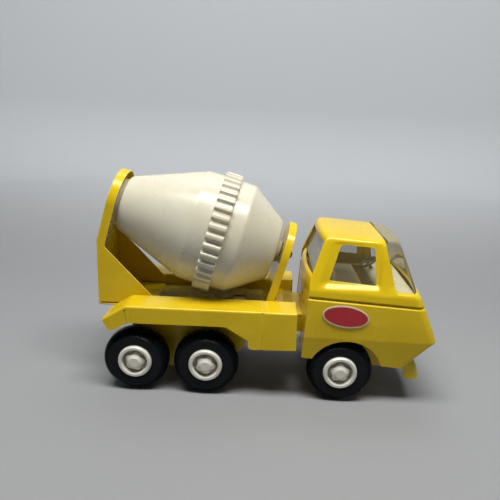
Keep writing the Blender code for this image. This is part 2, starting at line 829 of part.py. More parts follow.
def side_glass(side, label):
    """A flat pane behind the door's window opening."""
    bm = bmesh.new()
    margin = 1.6 * MM
    corners = []
    for x, z in ((43.6, 89.6), (73.6, 88.2), (71.8, 113.2), (49.0, 113.6)):
        across = -1 if x < 60 else 1
        up = -1 if z < 100 else 1
        corners.append((x * MM + across * margin, z * MM + up * 1.0 * MM))
    ring = []
    for depth in (0.0, 0.7 * MM):
        for x, z in corners:
            half = (41.0 * MM - 0.318 * (z - 88.5 * MM)) - SHEET - 1.0 * MM - depth
            ring.append(bm.verts.new((x, side * half, z)))
    bm.faces.new(ring[:4])
    bm.faces.new(ring[4:])
    for i in range(4):
        j = (i + 1) % 4
        bm.faces.new((ring[i], ring[j], ring[4 + j], ring[4 + i]))
    add_object(f"side_window_{label}", mesh_of("side_window", bm), CLEAR)


def make_rear_window():
    bm = bmesh.new()
    ring = []
    for lean in (0.0, 0.8 * MM):
        for z, half in ((91.2, 37.6), (113.6, 31.2)):
            for side in (-1, 1):
                x = rear_edge_x(z * MM) + 2.6 * MM + lean
                ring.append(bm.verts.new((x, side * half * MM, z * MM)))
    order = (0, 1, 3, 2)
    bm.faces.new([ring[i] for i in order])
    bm.faces.new([ring[4 + i] for i in order])
    for a, b in zip(order, order[1:] + order[:1]):
        bm.faces.new((ring[a], ring[b], ring[4 + b], ring[4 + a]))
    add_object("rear_window", mesh_of("rear_window", bm), CLEAR)


def windshield_row(z, half, back_x, front_x, corner, crown):
    """One level of the windscreen: along the quarter pane, round the corner, to the middle."""
    points = [(back_x, -half, z), ((back_x + front_x - corner) / 2, -half, z)]
    for degrees in (0, 30, 60, 90):
        angle = math.radians(degrees)
        x = front_x - corner * (1 - math.sin(angle))
        y = half - corner * (1 - math.cos(angle))
        points.append((x, -y, z))
    for share in (0.66, 0.33, 0.0):
        points.append((front_x + crown * (1 - share * share), -(half - corner) * share, z))
    return points


def make_windshield():
    bm = bmesh.new()
    rows = []
    for z, half, front_x in ((83.9, 38.9, 103.2), (100.0, 34.7, 96.7), (113.2, 31.6, 91.0),
                             (115.2, 31.0, 89.8), (116.2, 29.6, 88.0)):
        back_x = pillar_x(z * MM) + 0.5 * MM
        rows.append(windshield_row(z * MM, half * MM, back_x, front_x * MM, 3.4 * MM, 3.4 * MM))
    skin_rows(bm, rows)
    bm.verts.ensure_lookup_table()
    width = len(rows[0])
    top = [bm.verts[i] for i in range(len(bm.verts) - width, len(bm.verts))]
    edge = []
    for vert in top[2:]:
        edge.append(bm.verts.new((top[0].co.x, vert.co.y, vert.co.z + 0.1 * MM)))
    bm.faces.new((top[0], top[1], top[2], edge[0]))
    for i in range(len(edge) - 1):
        bm.faces.new((edge[i], top[2 + i], top[3 + i], edge[i + 1]))
    glass = add_object("windshield", mesh_of("windshield", bm), CLEAR)
    mirror_across(glass)
    skin = glass.modifiers.new("sheet", "SOLIDIFY")
    skin.thickness = 0.9 * MM
    skin.offset = -1.0
    smooth(glass)


def make_interior():
    bm = bmesh.new()
    side_view = [
        (34.5, 57.0), (71.0, 57.0), (72.0, 76.0), (69.5, 80.0), (49.0, 80.0), (46.5, 94.5),
        (44.5, 97.0), (41.0, 97.0), (38.5, 95.0), (34.5, 82.0),
    ]
    prism(bm, [(x * MM, z * MM) for x, z in side_view], -34 * MM, 34 * MM)
    seat = add_object("seat", mesh_of("seat", bm), CREAM)
    bevel_edges(seat, 1.2 * MM)
    bm = bmesh.new()
    side_view = [
        (79.0, 66.0), (103.5, 66.0), (103.8, 80.2), (101.5, 81.6), (81.0, 81.6), (79.0, 79.5),
    ]
    prism(bm, [(x * MM, z * MM) for x, z in side_view], -37 * MM, 37 * MM)
    dash = add_object("dashboard", mesh_of("dashboard", bm), CREAM)
    bevel_edges(dash, 0.8 * MM)


def bevel_edges(obj, width):
    bevel = obj.modifiers.new("rounded edges", "BEVEL")
    bevel.width = width
    bevel.segments = 2
    bevel.limit_method = "ANGLE"
    bevel.angle_limit = math.radians(30)
    smooth(obj, 50)


def steering_matrix():
    """Local Z points from the dashboard up the column to the driver."""
    centre = Vector((79.4 * MM, 16.0 * MM, 87.4 * MM))
    return Matrix.Translation(centre) @ Matrix.Rotation(math.radians(-32), 4, "Y")


def make_steering():
    matrix = steering_matrix()
    bm = bmesh.new()
    bmesh.ops.create_cone(
        bm, cap_ends=True, segments=12, radius1=1.3 * MM, radius2=1.0 * MM, depth=3.5 * MM,
        matrix=Matrix.Translation((0, 0, -3.85 * MM)),
    )
    column = add_object("steering_column", mesh_of("steering_column", bm), CREAM)
    column.matrix_world = matrix
    rim = 6.6 * MM
    tube = 0.8 * MM
    ring = [(rim + x, z) for x, z in arc((0, 0), tube, 112.5, -202.5, 7)]
    wheel = turned("steering_wheel", ring, 24, CREAM, matrix)
    for degrees in (0, 120, 240):
        bm = bmesh.new()
        spoke = box(bm, (-0.6 * MM, -0.7 * MM, -0.5 * MM), (rim, 0.7 * MM, 0.3 * MM))
        turn = Matrix.Rotation(math.radians(degrees), 4, "Z")
        bmesh.ops.transform(bm, matrix=turn, verts=spoke)
        cutter = cutter_of(f"spoke_{degrees}", bm)
        cutter.matrix_world = matrix
        boolean(wheel, cutter, "UNION")
    bm = bmesh.new()
    bmesh.ops.create_cone(
        bm, cap_ends=True, segments=12, radius1=1.8 * MM, radius2=1.6 * MM, depth=1.6 * MM,
    )
    cutter = cutter_of("wheel_boss", bm)
    cutter.matrix_world = matrix
    boolean(wheel, cutter, "UNION")


def make_bumper():
    """A strip across the nose's foot, wrapped back round both corners."""
    bm = bmesh.new()
    rows = []
    for z, front_x, back_x in ((18.6, 111.4, 103.6), (22.6, 111.5, 100.4), (27.4, 111.2, 100.4),
                               (30.4, 109.6, 101.0), (31.8, 107.9, 102.0)):
        half = 39.0 * MM
        corner = 7.0 * MM
        row = [(back_x * MM, -half, z * MM)]
        for degrees in (0, 22.5, 45, 67.5, 90):
            angle = math.radians(degrees)
            squeeze = min(corner, (front_x - back_x) * MM * 0.9)
            x = front_x * MM - squeeze * (1 - math.sin(angle))
            y = half - corner * (1 - math.cos(angle))
            row.append((x, -y, z * MM))
        for share in (0.5, 0.0):
            row.append((front_x * MM + 2.0 * MM * (1 - share), -(half - corner) * share, z * MM))
        rows.append(row)
    skin_rows(bm, rows)
    bumper = add_object("bumper", mesh_of("bumper", bm), YELLOW)
    mirror_across(bumper)
    skin = bumper.modifiers.new("sheet", "SOLIDIFY")
    skin.thickness = SHEET
    skin.offset = -1.0
    smooth(bumper)


def make_badges():
    for side, label in ((-1, "right"), (1, "left")):
        bm = bmesh.new()
        ring = [(x, z * 0.5) for x, z in arc((0, 0), 16.0 * MM, 0, 337.5, 15)]
        lean = math.radians(-6)
        outline = []
        for x, z in ring:
            along = x * math.cos(lean) - z * math.sin(lean)
            rise = x * math.sin(lean) + z * math.cos(lean)
            outline.append((BADGE_X + along, BADGE_Z + rise))
        low, high = sorted((side * (CAB_HALF_WIDTH + 0.55 * MM), side * (CAB_HALF_WIDTH + 0.9 * MM)))
        prism(bm, outline, low, high)
        add_object(f"door_badge_{label}", mesh_of("door_badge", bm), BADGE)


def make_rivets():
    """Round-headed rivets, each with its shank ending above the sheet that it holds."""
    places = {
        "rivet_front_support": (7.0, 0.0),
        "rivet_rear_bracket_right": (-100.0, -12.0),
        "rivet_rear_bracket_left": (-100.0, 12.0),
    }
    sill = DECK_TOP_Z + 2 * GAP + SHEET
    profile = [
        (0, 1.5 * MM),
        (1.2 * MM, 1.2 * MM),
        (2.2 * MM, 0.0),
        (0, 0.0),
    ]
    for name, (x, y) in places.items():
        turned(name, profile, 16, STEEL, Matrix.Translation((x * MM, y * MM, sill)))


clear_scene()
PARTS = new_collection("toy_cement_mixer")
CUTTERS = new_collection("cutters")

make_rear_body()
make_chassis_frame()
make_rear_bracket()
make_front_support()
make_drum()
for axle in AXLE_X:
    make_axle(axle)
make_cab_shell()
make_rear_panel()
make_windshield()
make_rear_window()
side_glass(-1, "right")
side_glass(1, "left")
make_interior()
make_steering()
make_bumper()
make_badges()
make_rivets()
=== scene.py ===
"""Looks of the toy cement mixer lorry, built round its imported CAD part."""

from math import cos, pi, radians, sin, sqrt

import bmesh
import bpy
import numpy as np
from mathutils import Matrix, Vector


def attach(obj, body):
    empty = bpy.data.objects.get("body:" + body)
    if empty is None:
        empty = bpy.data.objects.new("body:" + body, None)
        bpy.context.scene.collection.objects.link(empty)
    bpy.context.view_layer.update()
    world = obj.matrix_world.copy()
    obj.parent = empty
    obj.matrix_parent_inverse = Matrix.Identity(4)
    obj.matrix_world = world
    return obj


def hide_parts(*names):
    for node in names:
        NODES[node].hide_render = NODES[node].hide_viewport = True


SCENE = bpy.context.scene
MM = 0.001
SHEET = 0.8
GAP = 0.3

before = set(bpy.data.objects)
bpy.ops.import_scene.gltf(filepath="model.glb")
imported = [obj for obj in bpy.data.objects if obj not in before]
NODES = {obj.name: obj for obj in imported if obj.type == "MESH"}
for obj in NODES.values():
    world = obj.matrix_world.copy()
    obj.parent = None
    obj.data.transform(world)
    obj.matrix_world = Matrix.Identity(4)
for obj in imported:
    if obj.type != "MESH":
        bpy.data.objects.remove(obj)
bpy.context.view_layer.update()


# --- Materials ---

class Finish:
    """A material whose nodes are added one by one round its Principled shader."""

    def __init__(self, name, colour, roughness, metallic=0, **sockets):
        self.material = bpy.data.materials.new(name)
        self.material.use_nodes = True
        self.tree = self.material.node_tree
        self.shader = self.tree.nodes["Principled BSDF"]
        self.shader.inputs["Base Color"].default_value = (*colour, 1)
        self.shader.inputs["Roughness"].default_value = roughness
        self.shader.inputs["Metallic"].default_value = metallic
        for socket, value in sockets.items():
            self.shader.inputs[socket.replace("_", " ")].default_value = value
        self.place = self.tree.nodes.new("ShaderNodeTexCoord").outputs["Object"]
        self.normal = None

    def feed(self, socket, value):
        """Give a socket a fixed value, or link it to another node's output."""
        if isinstance(value, bpy.types.NodeSocket):
            self.tree.links.new(value, socket)
        elif socket.type == "RGBA":
            socket.default_value = (*value, 1)
        else:
            socket.default_value = value

    def node(self, kind, inputs, **settings):
        made = self.tree.nodes.new(kind)
        for key, value in settings.items():
            setattr(made, key, value)
        for socket, value in inputs.items():
            self.feed(made.inputs[socket], value)
        return made

    def moved(self, x, y, z):
        """The place on the piece, shifted so that no two patterns line up."""
        return self.node("ShaderNodeMapping", {"Location": (x, y, z), "Vector": self.place}).outputs["Vector"]

    def noise(self, scale, detail=4, roughness=0.55, seed=0):
        inputs = {"Scale": scale, "Detail": detail, "Roughness": roughness,
                  "Vector": self.moved(seed, seed * 0.7, -seed)}
        return self.node("ShaderNodeTexNoise", inputs).outputs["Fac"]

    def spots(self, scale, seed=0):
        """Distance to the nearest of many scattered points."""
        inputs = {"Scale": scale, "Vector": self.moved(seed, seed * 1.3, seed * 0.4)}
        return self.node("ShaderNodeTexVoronoi", inputs).outputs["Distance"]

    def spread(self, source, low, high, to_low=0, to_high=1):
        inputs = {"Value": source, "From Min": low, "From Max": high, "To Min": to_low, "To Max": to_high}
        return self.node("ShaderNodeMapRange", inputs, interpolation_type="SMOOTHSTEP").outputs["Result"]

    def cloud(self, noise, *reach):
        """A noise spread over a reach of its values."""
        return self.spread(self.noise(*noise), *reach)

    def math(self, operation, a, b):
        return self.node("ShaderNodeMath", {0: a, 1: b}, operation=operation).outputs["Value"]

    def mixed(self, share, a, b):
        return self.node("ShaderNodeMix", {"Factor": share, 6: a, 7: b}, data_type="RGBA").outputs[2]

    def colour(self, source):
        self.feed(self.shader.inputs["Base Color"], source)

    def rough(self, source):
        self.feed(self.shader.inputs["Roughness"], source)

    def bump(self, height, distance, strength=1):
        inputs = {"Strength": strength, "Distance": distance, "Height": height}
        if self.normal is not None:
            inputs["Normal"] = self.normal
        self.normal = self.node("ShaderNodeBump", inputs).outputs["Normal"]
        self.feed(self.shader.inputs["Normal"], self.normal)

    def axis(self, letter):
        return self.node("ShaderNodeSeparateXYZ", {"Vector": self.place}).outputs[letter]


def blend(a, b, share):
    return tuple(x + (y - x) * share for x, y in zip(a, b))


def dimmed(colour, share):
    return tuple(c * share for c in colour)


YELLOW = (0.66, 0.465, 0.009)
YELLOW_DEEP = (0.58, 0.385, 0.006)
# The pale of the edges: a painted highlight, together with worn paint.
YELLOW_LIT_WORN_EDGE = (0.86, 0.76, 0.32)
CHIP = (0.1, 0.06, 0.02)
STAIN = (0.4, 0.26, 0.02)
DECK_DIRT_AND_SHADE = (0.16, 0.13, 0.07)


def enamel(name, pale=0, wear=0, dull=0):
    """Glossy stoved enamel with faint unevenness, small chips and dull patches; the dull kind, for the deck,
    is darkened widely, partly by dirt and partly by painted shade under the drum.
    """
    # pale blends the colour towards a painted highlight on edges, mixed with the pale of worn paint.
    base = blend(YELLOW, YELLOW_LIT_WORN_EDGE, pale)
    made = Finish(name, base, 0.25, Specular_IOR_Level=0.45 - 0.35 * dull)
    made.shader.inputs["Specular Tint"].default_value = (1, 0.9, 0.6, 1)
    patches = made.cloud((38, 3), 0.35, 0.7)
    body = made.mixed(patches, base, blend(base, YELLOW_DEEP, 0.55))
    # For the dull deck the darkening spreads wide: its dirt together with painted shade under the drum.
    grime = made.cloud((160, 6, 0.65, 2), 0.56 - 0.4 * dull, 0.8, 0, 0.3 + 0.55 * dull)
    body = made.mixed(grime, body, DECK_DIRT_AND_SHADE if dull else STAIN)
    near = made.spread(made.spots(70, seed=0.37), 0.02, 0.036, 1, 0)
    few = made.cloud((26, 2, 0.55, 5), 0.5, 0.56)
    chips = made.math("MULTIPLY", near, few)
    if wear > 0:
        rubbed = made.cloud((330, 5, 0.7, 11), 0.62, 0.7, 0, wear)
        chips = made.math("MAXIMUM", chips, rubbed)
    body = made.mixed(chips, body, CHIP)
    made.colour(body)
    worn = made.cloud((70, 5, 0.55, 7), 0.3, 0.75, 0.16 + 0.35 * dull, 0.3 + 0.4 * dull)
    made.rough(made.math("ADD", worn, made.math("MULTIPLY", chips, 0.35)))
    made.bump(made.noise(240, 2, 0.4, seed=1), 0.00022, 0.22)
    made.bump(made.noise(45, 2, 0.4, seed=9), 0.0012, 0.1)
    made.bump(made.math("SUBTRACT", 1, chips), 0.00008, 0.8)
    return made.material


def cream_plastic():
    """Slightly warm off-white plastic, a little yellowed, with dark specks of grime."""
    base = (0.61, 0.59, 0.485)
    made = Finish("cream_plastic", base, 0.3, Subsurface_Weight=0.04, Subsurface_Scale=0.003)
    made.shader.inputs["Subsurface Radius"].default_value = (1, 0.8, 0.5)
    aged = made.cloud((22, 4, 0.55, 3), 0.35, 0.72)
    body = made.mixed(aged, base, (0.585, 0.545, 0.41))
    grime = made.cloud((120, 6, 0.7, 8), 0.58, 0.86, 0, 0.35)
    body = made.mixed(grime, body, (0.52, 0.46, 0.32))
    near = made.spread(made.spots(48, seed=0.21), 0.022, 0.045, 1, 0)
    ragged = made.cloud((1100, 2, 0.55, 4), 0.47, 0.58)
    specks = made.math("MULTIPLY", near, ragged)
    made.colour(made.mixed(specks, body, (0.22, 0.17, 0.1)))
    made.rough(made.cloud((60, 5, 0.55, 6), 0.3, 0.75, 0.22, 0.38))
    made.bump(made.noise(420, 3, 0.5), 0.00006, 0.35)
    made.bump(made.noise(28, 2, 0.4, seed=2.5), 0.001, 0.1)
    return made.material


def hub_plastic():
    """The wheel's cream plastic, with painted shade deep in the dish."""
    base = (0.66, 0.635, 0.55)
    made = Finish("hub_plastic", base, 0.34)
    # Painted shade: the deeper the dish's face lies, the darker, broken up by a noise.
    deep = made.spread(made.axis("Z"), 0.0428, 0.045, 1, 0)
    ragged = made.cloud((300, 5, 0.6), 0.3, 0.62, 0.45, 1)
    dish_shade = made.math("MULTIPLY", made.math("MULTIPLY", deep, ragged), 0.75)
    body = made.mixed(dish_shade, base, (0.14, 0.12, 0.075))
    fine = made.cloud((420, 5, 0.65, 3), 0.55, 0.8, 0, 0.35)
    made.colour(made.mixed(fine, body, (0.4, 0.36, 0.27)))
    made.rough(made.cloud((180, 4, 0.55, 2), 0.3, 0.7, 0.28, 0.45))
    made.bump(made.noise(700, 3, 0.5), 0.00005, 0.4)
    return made.material


def patchy(made, base, other, patches, patch_reach, gloss, gloss_reach, grain, grain_depth, grain_strength):
    """Patches of another colour, uneven gloss and a fine grain, each from a noise of its own."""
    made.colour(made.mixed(made.cloud(patches, *patch_reach), base, other))
    made.rough(made.cloud(gloss, *gloss_reach))
    made.bump(made.noise(*grain), grain_depth, grain_strength)
    return made.material


def rubber():
    """Nearly black tyre plastic with a thin film of dust."""
    base = (0.0045, 0.006, 0.008)
    made = Finish("tyre_black", base, 0.5, Specular_IOR_Level=0.14)
    return patchy(made, base, (0.03, 0.032, 0.035), (190, 6, 0.65), (0.5, 0.85, 0, 0.2),
                  (110, 5, 0.55, 4), (0.3, 0.75, 0.22, 0.4), (1300, 3, 0.6), 0.00005, 0.5)


def smoky_clear(name, alpha, rim_alpha, tint):
    """Thin clear plastic, yellowed and lightly hazed, and denser where it is seen edge-on."""
    made = Finish(name, tint, 0.07, Alpha=alpha, Specular_IOR_Level=1, IOR=2.2)
    facing = made.node("ShaderNodeLayerWeight", {"Blend": 0.35}).outputs["Facing"]
    made.feed(made.shader.inputs["Alpha"], made.spread(facing, 0.4, 0.8, alpha, rim_alpha))
    made.rough(made.cloud((90, 5), 0.35, 0.75, 0.05, 0.16))
    haze = made.cloud((70, 5, 0.6, 1.7), 0.45, 0.8, 0, 0.5)
    hazed = made.mixed(haze, tint, dimmed(tint, 1.25))
    made.colour(made.mixed(made.spread(facing, 0.84, 0.95), hazed, AMBER))
    made.bump(made.noise(60, 2, 0.4, seed=6), 0.0006, 0.12)
    return made.material


def interior_plastic(name, base):
    """Matt moulded plastic with faint patches and a fine grain."""
    return patchy(Finish(name, base, 0.5), base, dimmed(base, 0.8), (60, 4), (0.35, 0.75),
                  (130, 4, 0.55, 2), (0.3, 0.7, 0.42, 0.6), (500, 3, 0.5), 0.00006, 0.4)


def dull_steel(name, colour, roughness):
    """Plated steel gone dull, with fine marks and spots of tarnish."""
    made = Finish(name, colour, roughness, 0.9)
    return patchy(made, colour, dimmed(colour, 0.45), (420, 6, 0.65), (0.42, 0.72, 0, 0.7),
                  (300, 4, 0.55, 2), (0.3, 0.7, roughness * 0.8, roughness * 1.5),
                  (900, 4, 0.6), 0.00004, 0.5)


def sticker(name, colour):
    made = Finish(name, colour, 0.38, Coat_Weight=0.15, Coat_Roughness=0.25)
    return patchy(made, colour, dimmed(colour, 0.72), (170, 5, 0.6), (0.4, 0.8, 0, 0.5),
                  (220, 4, 0.55, 3), (0.3, 0.7, 0.3, 0.5), (260, 3, 0.5), 0.00006, 0.4)


ENAMEL = enamel("yellow_enamel")
# The deck's finish: less gloss, and heavy darkening that is partly dirt and partly painted shade under the
# drum.
ENAMEL_DULL_SHADED = enamel("yellow_enamel_dull_shaded", dull=1)
# The edge finish on bevels and cut faces is paler: a painted highlight where the edges catch the light, along
# with worn paint.
ENAMEL_LIT_WORN_EDGE = enamel("yellow_enamel_lit_worn_edge", pale=0.9, wear=0.35)
ENAMELS = [ENAMEL, ENAMEL_LIT_WORN_EDGE]
CREAM = cream_plastic()
HUB = hub_plastic()
TYRE = rubber()
AMBER = (0.03, 0.024, 0.012)
CLEAR = smoky_clear("clear_plastic", 0.09, 0.88, (0.31, 0.26, 0.115))
CLEAR_EDGE = interior_plastic("clear_plastic_edge", (0.035, 0.02, 0.01))
CLEAR_SIDE = smoky_clear("clear_plastic_side", 0.17, 0.55, (0.13, 0.115, 0.05))
CLEAR_REAR = smoky_clear("clear_plastic_rear", 0.36, 0.6, (0.34, 0.33, 0.28))
INTERIOR = interior_plastic("interior_plastic", (0.72, 0.66, 0.42))
# A dark copy of the inside's plastic for the steering wheel and column: painted shade, as they stand in shade
# before the lit dashboard.
INTERIOR_SHADED = interior_plastic("interior_plastic_shaded", (0.13, 0.115, 0.06))
STEEL = dull_steel("steel", (0.5, 0.49, 0.46), 0.34)
NUT_STEEL = dull_steel("nut_olive", (0.22, 0.19, 0.11), 0.36)
RED = sticker("sticker_red", (0.42, 0.01, 0.018))
RIM = sticker("sticker_rim", (0.7, 0.58, 0.38))


# --- Shape helpers ---

def add(name, bm, materials, smooth_angle=None, matrix=None):
    """A new object from a bmesh in millimetres, which stand_for turns into metres."""
    bmesh.ops.recalc_face_normals(bm, faces=bm.faces)
    mesh = bpy.data.meshes.new(name)
    bm.to_mesh(mesh)
    bm.free()
    obj = bpy.data.objects.new(name, mesh)
    SCENE.collection.objects.link(obj)
    for material in materials:
        mesh.materials.append(material)
    if smooth_angle is not None:
        mesh.shade_smooth()
        mesh.set_sharp_from_angle(angle=radians(smooth_angle))
    if matrix is not None:
        obj.matrix_world = matrix
    return obj


def to_metres(obj):
    obj.data.transform(Matrix.Scale(MM, 4))
    return obj


def stand_for(obj, body="chassis"):
    """A finished piece rides a body and takes the place of the node that it is named after."""
    to_metres(obj)
    if body == "drum":
        # A tilted object's own box is bigger than its shape, so the tilt goes into the mesh.
        obj.data.transform(obj.matrix_world)
        obj.matrix_world = Matrix.Identity(4)
    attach(obj, body)
    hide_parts(obj.name.removeprefix("fine_"))


def built(shape, *details):
    """A new bmesh with one shape in it."""
    bm = bmesh.new()
    shape(bm, *details)
    return bm


def modify(obj, kind, **settings):
    modifier = obj.modifiers.new(kind, kind)
    for key, value in settings.items():
        setattr(modifier, key, value)


def combine(obj, other, operation="DIFFERENCE", keep_material=False):
    """Apply a Boolean at once and remove the other solid."""
    mode = "TRANSFER" if keep_material else "INDEX"
    modify(obj, "BOOLEAN", operation=operation, object=other, solver="EXACT", material_mode=mode)
    bake(obj)
    bpy.data.objects.remove(other, do_unlink=True)


def cut(obj, shape, *details, material=None):
    """Cut a shape out of an object; the new faces take the material, if one is given."""
    cutter = add("cutter", built(shape, *details), [material] if material else [])
    combine(obj, cutter, "DIFFERENCE", material is not None)


def join(obj, shape, *details):
    combine(obj, add("joined", built(shape, *details), []), "UNION")


def bake(obj):
    bpy.context.view_layer.update()
    graph = bpy.context.evaluated_depsgraph_get()
    mesh = bpy.data.meshes.new_from_object(obj.evaluated_get(graph), depsgraph=graph)
    obj.modifiers.clear()
    old = obj.data
    obj.data = mesh
    bpy.data.meshes.remove(old)


def weld(obj, reach):
    """Merge the points that a Boolean left almost on top of each other."""
    bm = bmesh.new()
    bm.from_mesh(obj.data)
    bmesh.ops.remove_doubles(bm, verts=bm.verts, dist=reach)
    bmesh.ops.dissolve_degenerate(bm, dist=0.01, edges=bm.edges)
    bm.to_mesh(obj.data)
    bm.free()


def soften(obj, width, segments=3, angle=30, edge_material=-1):
    modify(obj, "BEVEL", width=width, segments=segments, limit_method="ANGLE",
           angle_limit=radians(angle), material=edge_material)
    bake(obj)


def shade(obj, angle=35):
    """Smooth shading that leaves the large flat faces flat."""
    obj.data.shade_smooth()
    obj.data.set_sharp_from_angle(angle=radians(angle))
    modify(obj, "WEIGHTED_NORMAL", keep_sharp=True)
    bake(obj)


def smooth_step(value, low, high):
    t = clamp((value - low) / (high - low))
    return t * t * (3 - 2 * t)


def box(bm, low, high):
    low = Vector(low)
    high = Vector(high)
    made = bmesh.ops.create_cube(bm, size=1)
    matrix = Matrix.Translation((low + high) / 2) @ Matrix.Diagonal((*(high - low), 1))
    bmesh.ops.transform(bm, matrix=matrix, verts=made["verts"])
    return made["verts"]


def cylinder(bm, radius, depth, matrix, segments=32, top=None):
    bmesh.ops.create_cone(
        bm, cap_ends=True, segments=segments, radius1=radius, radius2=radius if top is None else top,
        depth=depth, matrix=matrix,
    )


def rounded(points, radii, steps=5):
    """A closed outline with each corner replaced by a curve that starts radii away from it."""
    made = []
    shares = [k / steps for k in range(steps + 1)]
    for i, (point, radius) in enumerate(zip(points, radii)):
        here = Vector(point)
        before = Vector(points[i - 1]) - here
        after = Vector(points[(i + 1) % len(points)]) - here
        reach = min(radius, 0.48 * before.length, 0.48 * after.length)
        if reach < 0.02:
            made.append(tuple(here))
            continue
        start = here + before.normalized() * reach
        end = here + after.normalized() * reach
        made += [tuple(start * (1 - t) ** 2 + here * (2 * t * (1 - t)) + end * t ** 2) for t in shares]
    return made


def extrude(bm, outlines):
    """Closes a solid between two matching outlines."""
    a, b = [[bm.verts.new(point) for point in outline] for outline in outlines]
    bm.faces.new(a)
    bm.faces.new(b)
    join_rings(bm, a, b)


def prism(bm, outline, low_y, high_y):
    """An outline of (x, z) points extruded across the lorry."""
    extrude(bm, [[(x, y, z) for x, z in outline] for y in (low_y, high_y)])


def plate(bm, outline, matrix, thickness):
    """An outline of (u, v) points in a plane, thickened along the plane's third axis."""
    extrude(bm, [[matrix @ Vector((u, v, depth)) for u, v in outline] for depth in (0, thickness)])


def across_at(x, y, z):
    """The place of a rod that lies across the lorry."""
    return Matrix.Translation((x, y, z)) @ Matrix.Rotation(pi / 2, 4, "X")


def arc(centre, radius, start, end, steps):
    turns = [radians(start + (end - start) * i / steps) for i in range(steps + 1)]
    return [(centre[0] + radius * cos(t), centre[1] + radius * sin(t)) for t in turns]


def clamp(value):
    return min(max(value, 0), 1)


def lifted(height):
    return Matrix.Translation((0, 0, height))


def round_ring(bm, radius, height, steps, radius_at=None):
    """A ring of points about Z, or a single point where the radius is nothing."""
    if radius <= 1e-6:
        return [bm.verts.new((0, 0, height))]
    ring = []
    for k in range(steps):
        turn = 2 * pi * k / steps
        r, h = (radius, height) if radius_at is None else radius_at(radius, height, turn)
        ring.append(bm.verts.new((r * cos(turn), r * sin(turn), h)))
    return ring


def lathe(name, profile, steps, materials, matrix, angle=30, radius_at=None):
    """A closed profile of (radius, height) points turned about Z. radius_at(radius, height, turn)
    may change a point's radius and height round the turn."""
    bm = bmesh.new()
    rings = [round_ring(bm, r, h, steps, radius_at) for r, h in profile]
    for a, b in zip(rings, rings[1:] + rings[:1]):
        join_rings(bm, a, b)
    return add(name, bm, materials, angle, matrix)


def join_rings(bm, a, b):
    """Faces between two rings of points; either ring may be a single point."""
    steps = max(len(a), len(b))
    for k in range(steps if steps > 1 else 0):
        j = (k + 1) % steps
        bm.faces.new(([a[k], a[j]] if len(a) > 1 else a) + ([b[j], b[k]] if len(b) > 1 else b))


def soft_rows(rows, reaches, arc_steps, runs):
    """Rows of points, one above the other, joined by straight runs with each row rounded off.
    Returns the finer rows and, for each given row, the index of the finer row nearest to it.
    runs is the number of steps in every straight run, or a list with one number for each."""
    rows = [np.array(row, float) for row in rows]
    if isinstance(runs, int):
        runs = [runs] * (len(rows) - 1)
    made = [rows[0]]
    index = [0]
    shares = [k / arc_steps for k in range(1, arc_steps + 1)]
    for i, run in enumerate(runs, 1):
        here = rows[i]
        last = made[-1]
        if i == len(runs):
            made += [last + (here - last) * k / run for k in range(1, run + 1)]
            index.append(len(made) - 1)
            break
        legs = [rows[i - 1] - here, rows[i + 1] - here]
        lengths = [np.maximum(np.linalg.norm(leg, axis=1, keepdims=True), 1e-6) for leg in legs]
        reach = np.minimum(reaches[i], 0.46 * np.minimum(*lengths))
        start, end = [here + leg / length * reach for leg, length in zip(legs, lengths)]
        made += [last + (start - last) * k / run for k in range(1, run + 1)]
        made += [start * (1 - t) ** 2 + here * (2 * t * (1 - t)) + end * t ** 2 for t in shares]
        index.append(len(made) - 1 - arc_steps // 2)
    return made, index


def grid(bm, rows, wanted=None):
    """Quads between neighbouring rows of equal length, where wanted(row, column) holds."""
    verts = [[bm.verts.new(tuple(p)) for p in row] for row in rows]
    for r in range(len(verts) - 1):
        for c in range(len(verts[r]) - 1):
            if wanted is None or wanted(r, c):
                bm.faces.new((verts[r][c], verts[r][c + 1], verts[r + 1][c + 1], verts[r + 1][c]))
    loose = [v for row in verts for v in row if not v.link_faces]
    bmesh.ops.delete(bm, geom=loose, context="VERTS")


def yellow_part(obj, sharp):
    """Shade a finished sheet-metal piece; folds steeper than sharp degrees stay crisp."""
    shade(obj, sharp)
    stand_for(obj)


def mirrored_sheet(name, bm, thickness, offset, materials):
    """A sheet from one half of its surface; its cut edges take the second material."""
    bmesh.ops.remove_doubles(bm, verts=bm.verts, dist=0.002)
    obj = add(name, bm, materials)
    modify(obj, "MIRROR", use_axis=(False, True, False), use_clip=True, merge_threshold=0.03)
    modify(obj, "SOLIDIFY", thickness=thickness, offset=offset, use_even_offset=True, material_offset_rim=1)
    bake(obj)
    return obj


# --- Wheels ---

AXLE_X = {"rear": -89.7, "middle": -39.6, "front": 55.3}
AXLE_Z = 23.2
STAR_TURN = {"rear": 78, "middle": 64, "front": 90}
LUGS = 80
LUG_DEPTH = 1.25
TYRE_STEPS = LUGS * 6
TYRE_MIDDLE = 36.5
HUB_STEPS = 120
HUB_RADIUS = 11.9
HUB_BACK = 28.4
HUB_BORE = 1.8
HUB_BORE_END = 43.2
HUB_FACE_RADII = [0, 1.2, 2.4, 3, 3.4, 3.5, 3.7, 4.1, 4.5, 4.8, 5.1, 5.4, 5.7, 6, 6.3, 6.6, 6.9,
                  7.2, 7.5, 7.8, 8.1, 8.5, 8.7, 8.9, 9.1, 9.3, 9.4, 9.6, 10.4, 11, 11.25, 11.5, 11.75,
                  HUB_RADIUS]
HUB_RIM_BACK = 40
LIP_RADIUS = 11
LIP_HEIGHT = 46.1
DISH_RADIUS = 9.4
BUTTON_RADIUS = 3.4
BUTTON_HEIGHT = 46.6


def axle_matrix(x, side):
    """Local Z points out of the wheel, at the middle of the lorry's width."""
    turn = Matrix.Rotation(radians(90 * side), 4, "X")
    return Matrix.Translation((x * MM, 0, AXLE_Z * MM)) @ turn


